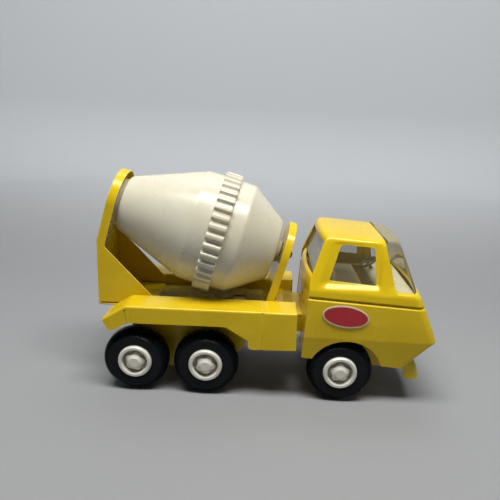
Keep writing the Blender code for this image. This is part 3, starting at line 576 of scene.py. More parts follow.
def tyre_section():
    """Points of (radius, height) from the outer bead over the tread to the inner bead."""
    outer = [
        (12.2, 43.7), (12.6, 44.05), (13.4, 44.2), (14.6, 44.38), (16.2, 44.56), (17.4, 44.58),
        (18.3, 44.5), (18.65, 44.45), (18.85, 44.18), (19.1, 44.15), (19.35, 44.3), (19.9, 44.1),
        (20.6, 43.7), (21.3, 43.15), (21.9, 42.45), (22.4, 41.6), (22.75, 40.7), (23, 39.7),
        (23.15, 38.7), (23.2, 38), (23.2, 37.6), (23.2, 37.2),
    ]
    inner = [(r, 2 * TYRE_MIDDLE - h) for r, h in reversed(outer)]
    return outer + [(23.2, TYRE_MIDDLE)] + inner


def lug_depth(radius, height):
    """How deep the gaps between the fine lugs are at this place on the tyre's section."""
    start = clamp((radius - 19.3) / 0.8)
    stop = clamp((abs(height - TYRE_MIDDLE) - 0.9) / 0.5)
    return LUG_DEPTH * start * stop


def tyre_point(r, h, turn):
    depth = lug_depth(r, h)
    if depth <= 0:
        return r, h
    phase = (turn * LUGS / (2 * pi)) % 1
    gap = clamp((abs(phase - 0.5) - 0.2) / 0.1)
    slope = min(abs(h - TYRE_MIDDLE) / 8.2, 1)
    inward = depth * gap
    return r - inward, h - inward * 0.5 * slope * (1 if h > TYRE_MIDDLE else -1)


def hub_height(radius, turn, star):
    """The dish's face: bright lip, deep recess, a raised star of five sloping arms and a button."""
    if radius >= LIP_RADIUS:
        return LIP_HEIGHT - (radius - LIP_RADIUS) * 1.5
    if radius >= DISH_RADIUS:
        return LIP_HEIGHT
    if radius <= BUTTON_RADIUS:
        return BUTTON_HEIGHT
    bowl = LIP_HEIGHT - 3.4 * (1 - smooth_step(radius, 8, DISH_RADIUS))
    foot = 6.75 + 0.95 * cos(5 * (turn - star))
    arms = BUTTON_HEIGHT - 0.15 - 0.6 * (radius - BUTTON_RADIUS)
    return bowl + max(arms - bowl, 0) * (1 - smooth_step(radius, foot - 0.55, foot + 0.45))


def make_hub(name, matrix, star):
    def dished(radius, height, turn):
        if height <= HUB_RIM_BACK or radius == HUB_BORE:
            return radius, height
        return radius, hub_height(radius, turn, star)

    profile = [(radius, hub_height(radius, 0, star)) for radius in HUB_FACE_RADII]
    profile += [(HUB_RADIUS, HUB_RIM_BACK), (HUB_RADIUS, 29), (HUB_RADIUS - 0.5, HUB_BACK),
                (HUB_BORE, HUB_BACK), (HUB_BORE, HUB_BORE_END), (0, HUB_BORE_END)]
    return lathe(name, profile, HUB_STEPS, [HUB], matrix, 40, dished)


def make_wheels():
    for which, x in AXLE_X.items():
        for side, label in ((1, "right"), (-1, "left")):
            matrix = axle_matrix(x, side)
            tyre = lathe(f"fine_{which}_tyre_{label}", tyre_section(), TYRE_STEPS, [TYRE], matrix, 40,
                         tyre_point)
            stand_for(tyre, f"{which}_axle")
            star = radians(STAR_TURN[which]) * side
            hub = make_hub(f"fine_{which}_hub_{label}", matrix, star)
            stand_for(hub, f"{which}_axle")


# --- Rear body and chassis frame ---

BACK_X = -120.6
FENDER_Y = 47.2
TROUGH_Y = 24.1
DECK_TOP_Z = 57.8
FRAME_TOP_Z = DECK_TOP_Z - SHEET - GAP
FRAME_Y = 22.5
TOP_FRONT = Vector((22.4, 66.9))
TOP_REAR = Vector((-95.2, 66))
FLAP_TIP = Vector((-111.7, 55.5))
FENDER_BEND = 1.7
CORNER_ROUND = 3.6
BEAD_X = -1.2
BEAD_ROD = 1.8
BEAD_DEPTH = 0.5
TOP_Z_AT_BEAD = 66.72
OUTLINE_STEPS = 5
BEND_STEPS = 7
FENDER_SIDE = [(-107.4, 47.5), (-104.6, 47.3), (-93.4, 53.6), (-26.3, 54.5), (-10.2, 45), (-10.1, 38.5),
               (23.2, 39.5), tuple(TOP_FRONT), tuple(TOP_REAR), tuple(FLAP_TIP)]
SEAM_SIDE = [(-95.6, 62.4), (-95.25, 62.4), (-93.15, 50), (-93.45, 50)]
FRAME_SIDE = [
    (-91.5, FRAME_TOP_Z), (-96.5, 34), (-98.5, 13), (-95.5, 9.5), (-29, 9.5), (-26, 11), (-10.6, 34),
    (-6, 43), (30, 43), (38, 22), (43, 18.8), (96, 19), (109.2, 21.5), (109.2, 27),
    (100, 31), (96, FRAME_TOP_Z),
]
AXLE_HOLE = 1.62


def fender_outline():
    """The fender seen from the side, from the flap's lower corner forwards and back over the top."""
    return rounded(FENDER_SIDE, [0.9, 1.2, 1.6, 1.5, 0.5, 4.6, 0.6, 0.8, 2.2, 0.9], OUTLINE_STEPS)


def under_top_outline():
    slope = (TOP_REAR - FLAP_TIP).normalized()
    far = FLAP_TIP + inward_slope() * SHEET - slope * 12
    front_x = TOP_FRONT.x - SHEET
    points = [tuple(far), (far.x, 20), (front_x + 0.4, 20), (front_x, TOP_FRONT.y - SHEET),
              (TOP_REAR.x + 0.2, TOP_REAR.y - SHEET)]
    return rounded(points, [0, 0, 0, 0.8, 2], 5)


def inward_slope():
    slope = (TOP_REAR - FLAP_TIP).normalized()
    return Vector((slope.y, -slope.x))


def fender_lean():
    """For every point of the fender's outline, the way that it moves inwards in the rounded edge."""
    down = Vector((0, -1))
    away = inward_slope()
    count = OUTLINE_STEPS + 1
    lean = [Vector((0, 0))] * (count * (len(FENDER_SIDE) - 3)) + [down] * count
    lean += [down.lerp(away, k / OUTLINE_STEPS).normalized() for k in range(count)]
    return lean + [away] * count


def fender_block(low, high):
    """The solid shape of a fender, its long upper edges rounded; hollowed out afterwards."""
    outline = fender_outline()
    lean = fender_lean()
    bend = [radians(90 * k / BEND_STEPS) for k in range(BEND_STEPS + 1)]
    places = [(low + FENDER_BEND * (1 - cos(a)), FENDER_BEND * (1 - sin(a))) for a in bend]
    places += [(high + low - y, inset) for y, inset in reversed(places)]
    bm = bmesh.new()
    rings = []
    for y, inset in places:
        points = [(x + way.x * inset, y, z + way.y * inset) for (x, z), way in zip(outline, lean)]
        rings.append([bm.verts.new(point) for point in points])
    for a, b in zip(rings, rings[1:]):
        join_rings(bm, a, b)
    bm.faces.new(rings[0])
    bm.faces.new(rings[-1])
    return add("fender", bm, ENAMELS)


def round_inner_corner(obj, side, inset):
    """Rounds the upright corner between the fender's front and the trough."""
    radius = CORNER_ROUND - inset
    corner = Vector((TOP_FRONT.x + 0.8 - inset, side * (TROUGH_Y + inset)))
    centre = corner + Vector((-radius, side * radius))
    points = [tuple(corner + Vector((3, -side * 3))), tuple(corner + Vector((3, side * radius)))]
    points += arc(centre, radius, 0, -90 * side, 12)
    points.append(tuple(corner + Vector((-radius, -side * 3))))
    cut(obj, plate, points, lifted(10), 80)


def groove_fender(fender, side):
    """A pressed line round the fender: a rod bites a shallow groove in its side and its top."""
    upright = Matrix.Translation((BEAD_X, side * (FENDER_Y + BEAD_ROD - BEAD_DEPTH), 50))
    lying = across_at(BEAD_X, side * 36, TOP_Z_AT_BEAD + BEAD_ROD - 0.5 * BEAD_DEPTH)
    for matrix in (upright, lying):
        cut(fender, cylinder, BEAD_ROD, 60, matrix, 48)


def make_fender(side):
    low, high = sorted((side * FENDER_Y, side * TROUGH_Y))
    fender = fender_block(low, high)
    round_inner_corner(fender, side, 0)
    hollow = add("hollow", built(prism, under_top_outline(), low + SHEET, high - SHEET), [])
    round_inner_corner(hollow, side, SHEET)
    combine(fender, hollow)
    groove_fender(fender, side)
    soften(fender, 0.22, 2, 40, 1)
    cut(fender, cylinder, 0.85, 6, across_at(-95.5, side * FENDER_Y, 62.6), 24)
    cut(fender, prism, SEAM_SIDE, *sorted((side * (FENDER_Y - 3), side * (FENDER_Y + 3))))
    return fender


def make_deck():
    reach = TROUGH_Y + 0.5
    outline = rounded([(BACK_X, -reach), (22, -reach), (22, reach), (BACK_X, reach)], [1.5, 0, 0, 1.5])
    sheet = built(plate, outline, lifted(DECK_TOP_Z - SHEET), SHEET)
    deck = add("deck", sheet, [ENAMEL_DULL_SHADED])
    slot = rounded([(-23.5, -7), (-14.5, -7), (-14.5, 7), (-23.5, 7)], [1.2] * 4)
    cut(deck, plate, slot, lifted(50), 12)
    soften(deck, 0.22, 2, 40)
    return deck


def make_rear_body():
    """Two fenders and the deck between them, in one stamping."""
    bm = bmesh.new()
    deck = make_deck()
    bm.from_mesh(deck.data)
    for face in bm.faces:
        face.material_index = 2
    bpy.data.objects.remove(deck, do_unlink=True)
    for fender in (make_fender(-1), make_fender(1)):
        bm.from_mesh(fender.data)
        bpy.data.objects.remove(fender, do_unlink=True)
    yellow_part(add("fine_rear_body", bm, ENAMELS + [ENAMEL_DULL_SHADED]), 32)


def make_chassis_frame():
    outline = rounded(FRAME_SIDE, [0, 2, 2, 1.5, 2, 2, 2, 2, 2, 2, 2, 2, 1, 1, 2, 0], 4)
    channel = built(prism, outline, -FRAME_Y, FRAME_Y)
    body = add("fine_chassis_frame", channel, ENAMELS)
    inner = FRAME_Y - SHEET
    cut(body, box, (-130, -inner, 0), (130, inner, FRAME_TOP_Z - SHEET))
    for x in AXLE_X.values():
        cut(body, cylinder, AXLE_HOLE, 80, across_at(x, 0, AXLE_Z), 32)
    soften(body, 0.2, 2, 40, 1)
    yellow_part(body, 32)


# --- Drum and its uprights ---

DRUM_CENTRE = Vector((-37.2, 0, 109.5))
DRUM_TILT = radians(15.16)
DRUM_WALL = 1.6
RING_RADIUS = 44.6
RING_HALF = 6.2
RING_RIDGES = 40
RING_GROOVE = 2.1
RING_PHASE = 0.48
RING_STEPS = 14
BAND = 41
NECK = 17.4
PIN = 1.6
UPRIGHT_Y = TROUGH_Y - GAP
REAR_PLATE_S = -79.2
FRONT_PLATE_S = 48.6
FLANGE = 5.3


def drum_matrix(scale=1):
    """In millimetres, unless scaled: local Z runs along the drum's axis towards the cab."""
    turn = Matrix.Rotation(radians(90) + DRUM_TILT, 4, "Y")
    return Matrix.Translation(DRUM_CENTRE * scale) @ turn


def open_rounded(points, reaches, steps=5):
    """An open run of points with its inner corners rounded."""
    rows, _ = soft_rows([[p] for p in points], reaches, steps, 1)
    return [tuple(row[0]) for row in rows]


def make_drum():
    matrix = drum_matrix(MM)
    wall = DRUM_WALL
    profile = open_rounded(
        [(BAND, -0.15), (BAND, -18), (20.4, -70.4), (NECK, -72.4), (NECK, -78.8), (NECK - wall, -78.8),
         (NECK - wall, -71.4), (20.4 - wall, -68.4), (BAND - wall, -17.6), (BAND - wall, -0.15)],
        [0, 1.6, 1.2, 0.8, 0.4, 0.4, 1, 1.2, 1.2, 0])
    rear = lathe("fine_drum_rear_shell", profile, 200, [CREAM], matrix, 30)
    stand_for(rear, "drum")
    hole = PIN + 0.1
    profile = open_rounded(
        [(BAND, 0.15), (BAND, 17.1), (23.1, 43), (21.4, 44), (9, 44.5), (8, 48), (hole, 48),
         (hole, 34), (4.5, 34), (6, 41.6), (23.1 - wall, 41.6), (BAND - wall, 16.6),
         (BAND - wall, 0.15)],
        [0, 1.4, 0.8, 0.8, 0.8, 0.5, 0.3, 0.3, 0.5, 0.8, 1, 1.2, 0])
    front = lathe("fine_drum_front_shell", profile, 200, [CREAM], matrix, 30)
    stand_for(front, "drum")
    make_ring(matrix)
    rod = built(cylinder, PIN, 19.4, lifted(44.4), 40)
    pin = add("fine_drum_pin", rod, [STEEL], 40, matrix)
    stand_for(pin, "drum")
    profile = open_rounded(
        [(0, 58.4), (2, 58), (3.9, 55.4), (4.9, 51.4), (4.9, 49.8), (4.3, 49.8), (PIN, 50.6),
         (PIN + 0.3, 54.6), (0, 54.6)],
        [0, 1.2, 1.2, 1, 0.25, 0.2, 0.2, 0.2, 0])
    nut = lathe("fine_drum_push_nut", profile, 64, [NUT_STEEL], matrix, 35)
    stand_for(nut, "drum")


def ring_share(phase):
    """Height of the ridge, 0 in the groove and 1 on its rounded top, for a place round one pitch."""
    wave = 0.5 + 0.5 * cos(2 * pi * (phase - RING_PHASE))
    return 0.88 * smooth_step(wave, 0.2, 0.82) + 0.12 * wave


def make_ring(matrix):
    half = RING_HALF
    section = [(-half, 0.55), (-half + 0.3, 0.25), (-half + 0.7, 0.05), (-half + 1.2, 0), (0, 0),
               (half - 1.2, 0), (half - 0.7, 0.05), (half - 0.3, 0.25), (half, 0.55)]
    profile = [(RING_RADIUS - fall, height) for height, fall in section]
    bore = BAND + 0.05

    def ridged(radius, height, turn):
        if radius == bore:
            return radius, height
        share = ring_share(turn * RING_RIDGES / (2 * pi))
        return radius - RING_GROOVE * (1 - share), height

    start = Matrix.Rotation(-2 * pi * RING_PHASE / RING_RIDGES, 4, "Z")
    ring = lathe("fine_grip_ring", profile + [(bore, half), (bore, -half)], RING_RIDGES * RING_STEPS, [CREAM],
                 matrix @ start, 38, ridged)
    stand_for(ring, "drum")


def arch_outline(radius, foot):
    return [(radius, foot)] + arc((0, 0), radius, 0, 180, 64) + [(-radius, foot)]


def arch_matrix(s):
    """The plane across the drum's axis at s: u across the lorry, v up, then along the axis."""
    world = drum_matrix()
    turn = world.to_3x3()
    columns = Matrix((turn @ Vector((0, 1, 0)), turn @ Vector((-1, 0, 0)), turn @ Vector((0, 0, 1))))
    return Matrix.Translation(world @ Vector((0, 0, s))) @ columns.transposed().to_4x4()


def drum_point(s, up, across=0):
    return drum_matrix() @ Vector((-up, across, s))


def bracket_fold():
    plane = drum_point(REAR_PLATE_S, 0)
    up = drum_point(REAR_PLATE_S, 1) - plane
    return (BACK_X - plane.x) / up.x


def make_rear_bracket():
    foot = bracket_fold()
    depth = FLANGE + SHEET
    sheet = built(plate, arch_outline(UPRIGHT_Y, foot), arch_matrix(REAR_PLATE_S), depth)
    body = add("fine_rear_bracket", sheet, ENAMELS)
    fold = drum_point(REAR_PLATE_S, foot)
    rim_end = drum_point(REAR_PLATE_S + depth, foot + 1.4)
    slope = drum_point(REAR_PLATE_S + depth, foot - 2.6)
    bottom = DECK_TOP_Z + GAP
    points = [(fold.x, fold.z + 0.02), (fold.x, bottom), (-80.4, bottom), (-80.4, 64),
              (slope.x, slope.z), (rim_end.x, rim_end.z)]
    join(body, prism, rounded(points, [0, 0, 0, 1.5, 2, 0]), -UPRIGHT_Y, UPRIGHT_Y)
    inner = UPRIGHT_Y - SHEET
    cut(body, plate, arch_outline(inner, foot - 2), arch_matrix(REAR_PLATE_S + SHEET), 30)
    points = [(BACK_X + SHEET, fold.z + 1), (BACK_X + SHEET, bottom + SHEET), (-60, bottom + SHEET),
              (-60, 120), (fold.x + 8, 120)]
    cut(body, prism, points, -inner, inner)
    for side in (-1, 1):
        low, high = sorted((side * inner, side * (UPRIGHT_Y + 5)))
        cut(body, box, (BACK_X + 2 * SHEET, low, bottom - 5), (-60, high, bottom + 1.1))
    hole = drum_matrix() @ lifted(REAR_PLATE_S)
    cut(body, cylinder, NECK + 0.15, 8, hole, 96)
    finish_upright(body, 14)


def finish_upright(body, sharp):
    weld(body, 0.1)
    soften(body, 0.32, 3, 35, 1)
    yellow_part(body, sharp)


def make_front_support():
    world = arch_matrix(FRONT_PLATE_S)
    up = world.to_3x3() @ Vector((0, 1, 0))
    origin = world.to_translation()
    sill = DECK_TOP_Z + GAP
    foot = (sill - origin.z) / up.z
    inner = UPRIGHT_Y - SHEET
    sheet = built(plate, arch_outline(UPRIGHT_Y, foot), world, FLANGE)
    body = add("fine_front_support", sheet, ENAMELS)
    cut(body, plate, arch_outline(inner, foot - 4), arch_matrix(FRONT_PLATE_S + SHEET), 30)
    back = origin + up * foot
    join(body, box, (back.x + 0.1, -inner - 0.2, sill), (back.x + 15, inner + 0.2, sill + SHEET))
    cut(body, box, (-60, -60, sill - 20), (60, 60, sill))
    hole = drum_matrix() @ lifted(FRONT_PLATE_S)
    cut(body, cylinder, PIN + 0.1, 8, hole, 40)
    finish_upright(body, 32)


def make_rivets():
    places = {
        "rivet_front_support": (7, 0),
        "rivet_rear_bracket_right": (-100, -12),
        "rivet_rear_bracket_left": (-100, 12),
    }
    sill = DECK_TOP_Z + 2 * GAP + SHEET
    profile = [(0, 1.5), (0.6, 1.45), (1.2, 1.25), (1.7, 0.9), (2.05, 0.45), (2.2, 0.05), (2.15, 0), (0, 0)]
    for name, (x, y) in places.items():
        matrix = Matrix.Translation((x * MM, y * MM, sill * MM))
        rivet = lathe(f"fine_{name}", profile, 40, [STEEL], matrix, 50)
        stand_for(rivet)


# --- Cab ---

CAB_REAR_X = 27.4
PILLAR_X = 87.9
FOLD_Z = 49.6
NOSE_X = 119.6
NOSE_LEAN = 0.435
CAB_HALF = 46.1
CORNER = 6
ROOF_HALF = 31
REAR_CROWN = 3.4
LEDGE_SIDE = 4.5
LEDGE_NOSE = 1.1
SEAM = 1.6
HEADER_BEND = 5
HEADER_REACH = 4.3
ARCH_RADIUS = 25.6
ARCH_CENTRE = (58.6, 22.6)

# Height at the back and at the nose, half width, set-back from the nose's line, and crown.
LOWER_LEVELS = [
    (49.6, 49.6, 46.1, 0, 1),
    (62, 61, 46.3, 0, 1.5),
    (77, 72.8, 45.8, 0, 2),
    (78.3, 74.1, 43.9, 0, 2),
    (79.6, 75.4, 45.6, 0, 2),
    (83.6, 81, 45, 0.2, 3),
    (86, 83.2, 43.8, 1.6, 3),
]
# Height at the back and at the pillar, and half width.
UPPER_LEVELS = [(89.8, 87.6, 42.2), (113.9, 113.4, 33.6), (116.6, 114.6, 32.5), (118.2, 115.9, 31)]
ROOF_LEVELS = [(118.9, 116.4, 28.6), (120, 116.7, 21), (120.7, 116.9, 14), (121, 117, 7),
               (121.1, 117, 0)]
SIDE_STEPS = 76
LINK_STEPS = 8
CORNER_STEPS = 9
FLAT_STEPS = 14
CORNER_START = SIDE_STEPS + LINK_STEPS
SKIRT_END = CORNER_START + 6


def nose_x(z):
    return NOSE_X - NOSE_LEAN * (z - FOLD_Z)


def rear_edge_x(z):
    if z < 90:
        return CAB_REAR_X + 0.04 * (z - 33)
    return CAB_REAR_X + 2.28 + 0.34 * (z - 90)


def pillar_x(z):
    return PILLAR_X - 0.25 * (z - 83)


def front_half(front_x, half, corner, crown, first, corner_steps, flat_steps, depth=None):
    """Points (x, y) round a corner of the nose, then across its crowned front to the middle."""
    depth = corner if depth is None else depth
    points = []
    for k in range(first, corner_steps + 1):
        angle = radians(90 * k / corner_steps)
        y = -(half - corner * (1 - cos(angle)))
        points.append((front_x - depth * (1 - sin(angle)), y))
    for k in range(1, flat_steps + 1):
        share = 1 - k / flat_steps
        points.append((front_x + crown * (1 - share * share), -(half - corner) * share))
    return points


def lower_row(level):
    """One half of a level below the windows: side, nose corner, then across to the middle."""
    z_back, z_nose, half, set_back, crown = level
    far_x = nose_x(z_nose) - set_back
    start = rear_edge_x(z_back)
    stop = pillar_x(max(z_nose, 83))
    link = far_x - CORNER - stop
    points = [(start + (stop - start) * k / SIDE_STEPS, -half) for k in range(SIDE_STEPS + 1)]
    points += [(stop + link * k / LINK_STEPS, -half) for k in range(1, LINK_STEPS + 1)]
    points += front_half(far_x, half, CORNER, crown, 1, CORNER_STEPS, FLAT_STEPS)
    rise = (z_nose - z_back) / (far_x - CAB_REAR_X)
    return [(x, y, z_back + rise * (min(x, far_x) - CAB_REAR_X)) for x, y in points]


def skirt_row(top):
    """The side's lower edge, and a short lip turned in under the nose."""
    first = Vector((CAB_REAR_X, -43.6, 33))
    last = Vector((97.4, -43, 28.4))
    row = []
    for i, point in enumerate(top):
        if i <= SKIRT_END:
            share = (point[0] - top[0][0]) / (top[SKIRT_END][0] - top[0][0])
            row.append(tuple(first.lerp(last, share)))
        else:
            row.append((point[0] - 1.6, point[1] * 0.985, point[2] - 1.1))
    return row


def upper_row(level, start, ledge, turned_in=0):
    """A level of the side or the roof; its ends are turned in, and past the pillar it is the ledge."""
    z_back, z_front, half = level
    points = []
    for k in range(SIDE_STEPS + 1):
        share = k / SIDE_STEPS
        x = start + (pillar_x(z_front) - start) * share
        front = max((share - 0.9) / 0.1, 0)
        back = max((0.035 - share) / 0.035, 0)
        y = -(half - turned_in * (1.1 * front * front + 0.7 * back * back))
        points.append((x, y, z_back + (z_front - z_back) * share))
    return points + ledge


def roof_edge_x(half):
    """The roof's crowned rear edge at this distance from the middle."""
    return rear_edge_x(UPPER_LEVELS[-1][0]) - REAR_CROWN * (1 - (half / ROOF_HALF) ** 2)


def ledge_rows(top):
    """Inwards from the top of the nose, then turned down: for every column past the pillar."""
    inner = []
    lip = []
    for i in range(SIDE_STEPS + 1, len(top)):
        x, y, z = top[i]
        turn = clamp((i - CORNER_START) / CORNER_STEPS)
        angle = turn * pi / 2
        reach = LEDGE_SIDE + (LEDGE_NOSE - LEDGE_SIDE) * turn
        inner.append((x - reach * sin(angle), y + reach * cos(angle), z + 0.12))
        lip.append((x - (reach + 0.3) * sin(angle), y + (reach + 0.3) * cos(angle), z - 1.4))
    return inner, lip


def press_window_recess(bm):
    """The side is dished round the window, with a wide slope behind it and a sloping sill."""
    for vert in bm.verts:
        x, y, z = vert.co
        if z < 83.5 or z > 117.5 or y > -20:
            continue
        left = 33.6 + 0.27 * (z - 86)
        right = 76.8 + 0.05 * (z - 86)
        share = smooth_step(x, left, left + 8.6) * (1 - smooth_step(x, right - 1.5, right + 1))
        share *= smooth_step(z, 83.9, 88.9) * (1 - smooth_step(z, 112.9, 115.6))
        depth = 2.4 - 1.6 * clamp((z - 88) / 25)
        vert.co.y += depth * share


def bend_header(bm):
    """The roof curves down towards its rear edge."""
    for vert in bm.verts:
        x, y, z = vert.co
        if z < 112 or abs(y) > 34:
            continue
        into = HEADER_REACH - (x - roof_edge_x(min(abs(y), ROOF_HALF)))
        if into > 0:
            into = min(into, HEADER_REACH)
            drop = HEADER_BEND - sqrt(HEADER_BEND ** 2 - into ** 2)
            vert.co.z -= drop * (1 - smooth_step(abs(y), 28.5, 34))


def make_cab_shell():
    lower = [lower_row(level) for level in LOWER_LEVELS]
    inner, lip = ledge_rows(lower[-1])
    rows = [skirt_row(lower[0])] + lower
    for i, level in enumerate(UPPER_LEVELS):
        rows.append(upper_row(level, rear_edge_x(level[0]), lip if i else inner, 1))
    rows += [upper_row(level, roof_edge_x(level[2]), lip) for level in ROOF_LEVELS]
    reaches = [0, 1.1, 3, 0.5, 0.5, 0.5, 1.6, 1.4, 1.6, 2, 1.2, 1.9, 2, 4, 4, 4, 0]
    runs = [7, 5, 6, 2, 2, 4, 3, 4, 18, 3, 2, 2, 4, 3, 3, 3]
    fine, index = soft_rows(rows, reaches, 5, runs)
    fold_row = index[1]
    split_row = index[8] - 3
    lip_end = index[9] - 3

    def wanted(r, c):
        if r < fold_row:
            return c != SKIRT_END
        if r < split_row or c < SIDE_STEPS:
            return True
        return c > SIDE_STEPS and r < lip_end

    bm = bmesh.new()
    grid(bm, fine, wanted)
    press_window_recess(bm)
    starts = [Vector(row[0]) for row in fine[index[11]:]]
    rear_edge = [min(bm.verts, key=lambda vert: (vert.co - start).length) for start in starts]
    bend_header(bm)
    header_lip(bm, rear_edge)
    cab = mirrored_sheet("fine_cab_shell", bm, SHEET, -1, ENAMELS)
    for outline in (arch_cut(), window_cut()):
        cut(cab, prism, outline, -60, 60, material=ENAMEL_LIT_WORN_EDGE)
    yellow_part(cab, 38)


def header_lip(bm, chain):
    """The roof's rear edge is turned down over the rear window in a rounded bend."""
    runs = [chain]
    for back, down in ((-0.33, -0.62), (-0.58, -1.3), (-0.75, -2.05), (-0.85, -2.8)):
        runs.append([bm.verts.new(vert.co + Vector((back, 0, down))) for vert in chain])
    for above, below in zip(runs, runs[1:]):
        for i in range(len(chain) - 1):
            bm.faces.new((above[i], below[i], below[i + 1], above[i + 1]))


def arch_cut():
    cx, cz = ARCH_CENTRE
    points = [(35, 20), (35.2, 33)]
    for x, z in arc((0, 0), 1, 150, 16, 56):
        points.append((cx + x * ARCH_RADIUS, cz + z * (ARCH_RADIUS - 0.3)))
    points.append((83.6, 20))
    return points


def window_cut():
    corners = [(42.6, 89.3), (74.6, 87.3), (72.9, 112.1), (49.8, 113.3)]
    return rounded(corners, [1.6, 1.4, 2, 2.6], 6)


def make_rear_panel():
    """The crowned sheet that closes the cab's back up to the window sill."""
    levels = ((34.5, 42, 0.6, 0.35), (49, 44, 0.9, 0.4), (76, 43.4, 1, 0.55),
              (84.6, 41.4, 1, 0.9), (89, 40.2, 2, 1), (90.2, 39.6, 4, 1))
    rows = []
    shares = [i / 30 for i in range(31)]
    for z, half, inset, share_of_crown in levels:
        back = rear_edge_x(z) + inset
        crown = REAR_CROWN * share_of_crown
        rows.append([(back - crown * (1 - share * share), -half * share, z) for share in shares])
    fine, _ = soft_rows(rows, [0, 4, 4, 3, 1.3, 0], 6, 6)
    panel = mirrored_sheet("fine_cab_rear_panel", built(grid, fine), SHEET, 0, ENAMELS)
    side = FRAME_Y + GAP * 2
    cut(panel, box, (0, -side, 0), (50, side, FRAME_TOP_Z + 2 * GAP), material=ENAMEL_LIT_WORN_EDGE)
    yellow_part(panel, 38)


def windshield_row(z, half, front_x):
    back_x = pillar_x(z) + 0.5
    corner = 3.8
    points = [(back_x + (front_x - corner - back_x) * k / 8, -half, z) for k in range(8)]
    return points + [(x, y, z) for x, y in front_half(front_x, half, corner, 3.4, 0, 10, 18)]


def make_windshield():
    rows = []
    for z, half, front_x in ((83.6, 38.9, 103.2), (100, 34.7, 96.7), (113.2, 31.6, 91)):
        rows.append(windshield_row(z, half, front_x))
    top = windshield_row(116, 30.6, 88.6)
    rows.append(top)
    rows.append([(min(pillar_x(116.2) + 0.5, x), y, 116.25) for x, y, z in top])
    fine, _ = soft_rows(rows, [0, 5, 2.4, 2.8, 0], 7, 12)
    bm = bmesh.new()
    grid(bm, fine)
    bmesh.ops.dissolve_degenerate(bm, dist=0.002, edges=bm.edges)
    for face in bm.faces:
        middle = face.calc_center_median()
        if middle.z > 115.9 and middle.x < pillar_x(116.2) + SEAM:
            face.material_index = 1
    glass = mirrored_sheet("fine_windshield", bm, 0.9, -1, [CLEAR, CLEAR_EDGE])
    shade(glass, 50)
    stand_for(glass)


SEAT_SIDE = [
    (34.5, 57), (71, 57), (72, 76), (69.5, 80), (49, 80), (46.5, 94.5),
    (44.5, 97), (41, 97), (38.5, 95), (34.5, 82),
]
DASHBOARD_SIDE = [(79, 66), (103.5, 66), (103.8, 80.2), (101.5, 81.6), (81, 81.6), (79, 79.5)]


def make_moulding(node, outline, half, width, segments):
    """A plastic moulding of the cab's inside: one outline across the lorry, its edges rounded."""
    moulding = add(f"fine_{node}", built(prism, outline, -half, half), [INTERIOR])
    soften(moulding, width, segments, 40)
    shade(moulding, 40)
    stand_for(moulding)


def make_interior():
    make_moulding("seat", rounded(SEAT_SIDE, [1, 1, 2, 2, 3, 2, 1, 1, 2, 2], 4), 34, 1.2, 4)
    make_moulding("dashboard", rounded(DASHBOARD_SIDE, [0.5, 0.5, 1, 1.5, 1.5, 1], 4), 37, 0.8, 3)


def make_steering():
    centre = Vector((79.4, 16, 87.4))
    place = Matrix.Translation(centre * MM) @ Matrix.Rotation(radians(-32), 4, "Y")
    # The wheel and column take the dark copy: painted shade.
    tube = built(cylinder, 1.3, 3.5, lifted(-3.85), 32, 1)
    column = add("fine_steering_column", tube, [INTERIOR_SHADED], 40, place)
    stand_for(column)
    ring = [(6.6 + x, z) for x, z in arc((0, 0), 0.8, 120, -210, 11)]
    wheel = lathe("fine_steering_wheel", ring, 72, [INTERIOR_SHADED], place, 50)
    bm = bmesh.new()
    bm.from_mesh(wheel.data)
    for degrees in (0, 120, 240):
        spoke = box(bm, (-0.6, -0.7, -0.5), (6.5, 0.7, 0.3))
        bmesh.ops.transform(bm, matrix=Matrix.Rotation(radians(degrees), 4, "Z"), verts=spoke)
    cylinder(bm, 1.8, 1.6, Matrix.Identity(4), 32, 1.6)
    bm.to_mesh(wheel.data)
    bm.free()
    shade(wheel, 50)
    stand_for(wheel)


def make_bumper():
    rows = []
    for z, front_x, back_x in ((18.5, 113.6, 103.6), (21.6, 112.6, 100.4), (26.4, 111.4, 100.4),
                               (30.2, 109.4, 101), (31.8, 107.4, 102)):
        half = 39
        corner = 7
        squeeze = min(corner, (front_x - back_x) * 0.9)
        front = front_half(front_x, half, corner, 2, 0, 12, 12, squeeze)
        rows.append([(back_x, -half, z)] + [(x, y, z) for x, y in front])
    fine, _ = soft_rows(rows, [0, 2, 2, 1.2, 0], 5, 3)
    bumper = mirrored_sheet("fine_bumper", built(grid, fine), SHEET, -1, ENAMELS)
    yellow_part(bumper, 40)


BADGE_CENTRE = (55.1, 66.5)
BADGE_LEAN = radians(-6)
# Half length, half height, and how far out from the door each ring of the oval lies.
BADGE_RINGS = [(16, 8, 0.55), (16, 8, 0.82), (15.76, 7.88, 0.9), (14.9, 6.9, 0.9)]


def oval_ring(bm, length, height, y):
    ring = []
    for k in range(96):
        angle = 2 * pi * k / 96
        x = length * cos(angle)
        z = height * sin(angle)
        along = x * cos(BADGE_LEAN) - z * sin(BADGE_LEAN)
        rise = x * sin(BADGE_LEAN) + z * cos(BADGE_LEAN)
        ring.append(bm.verts.new((BADGE_CENTRE[0] + along, y, BADGE_CENTRE[1] + rise)))
    return ring


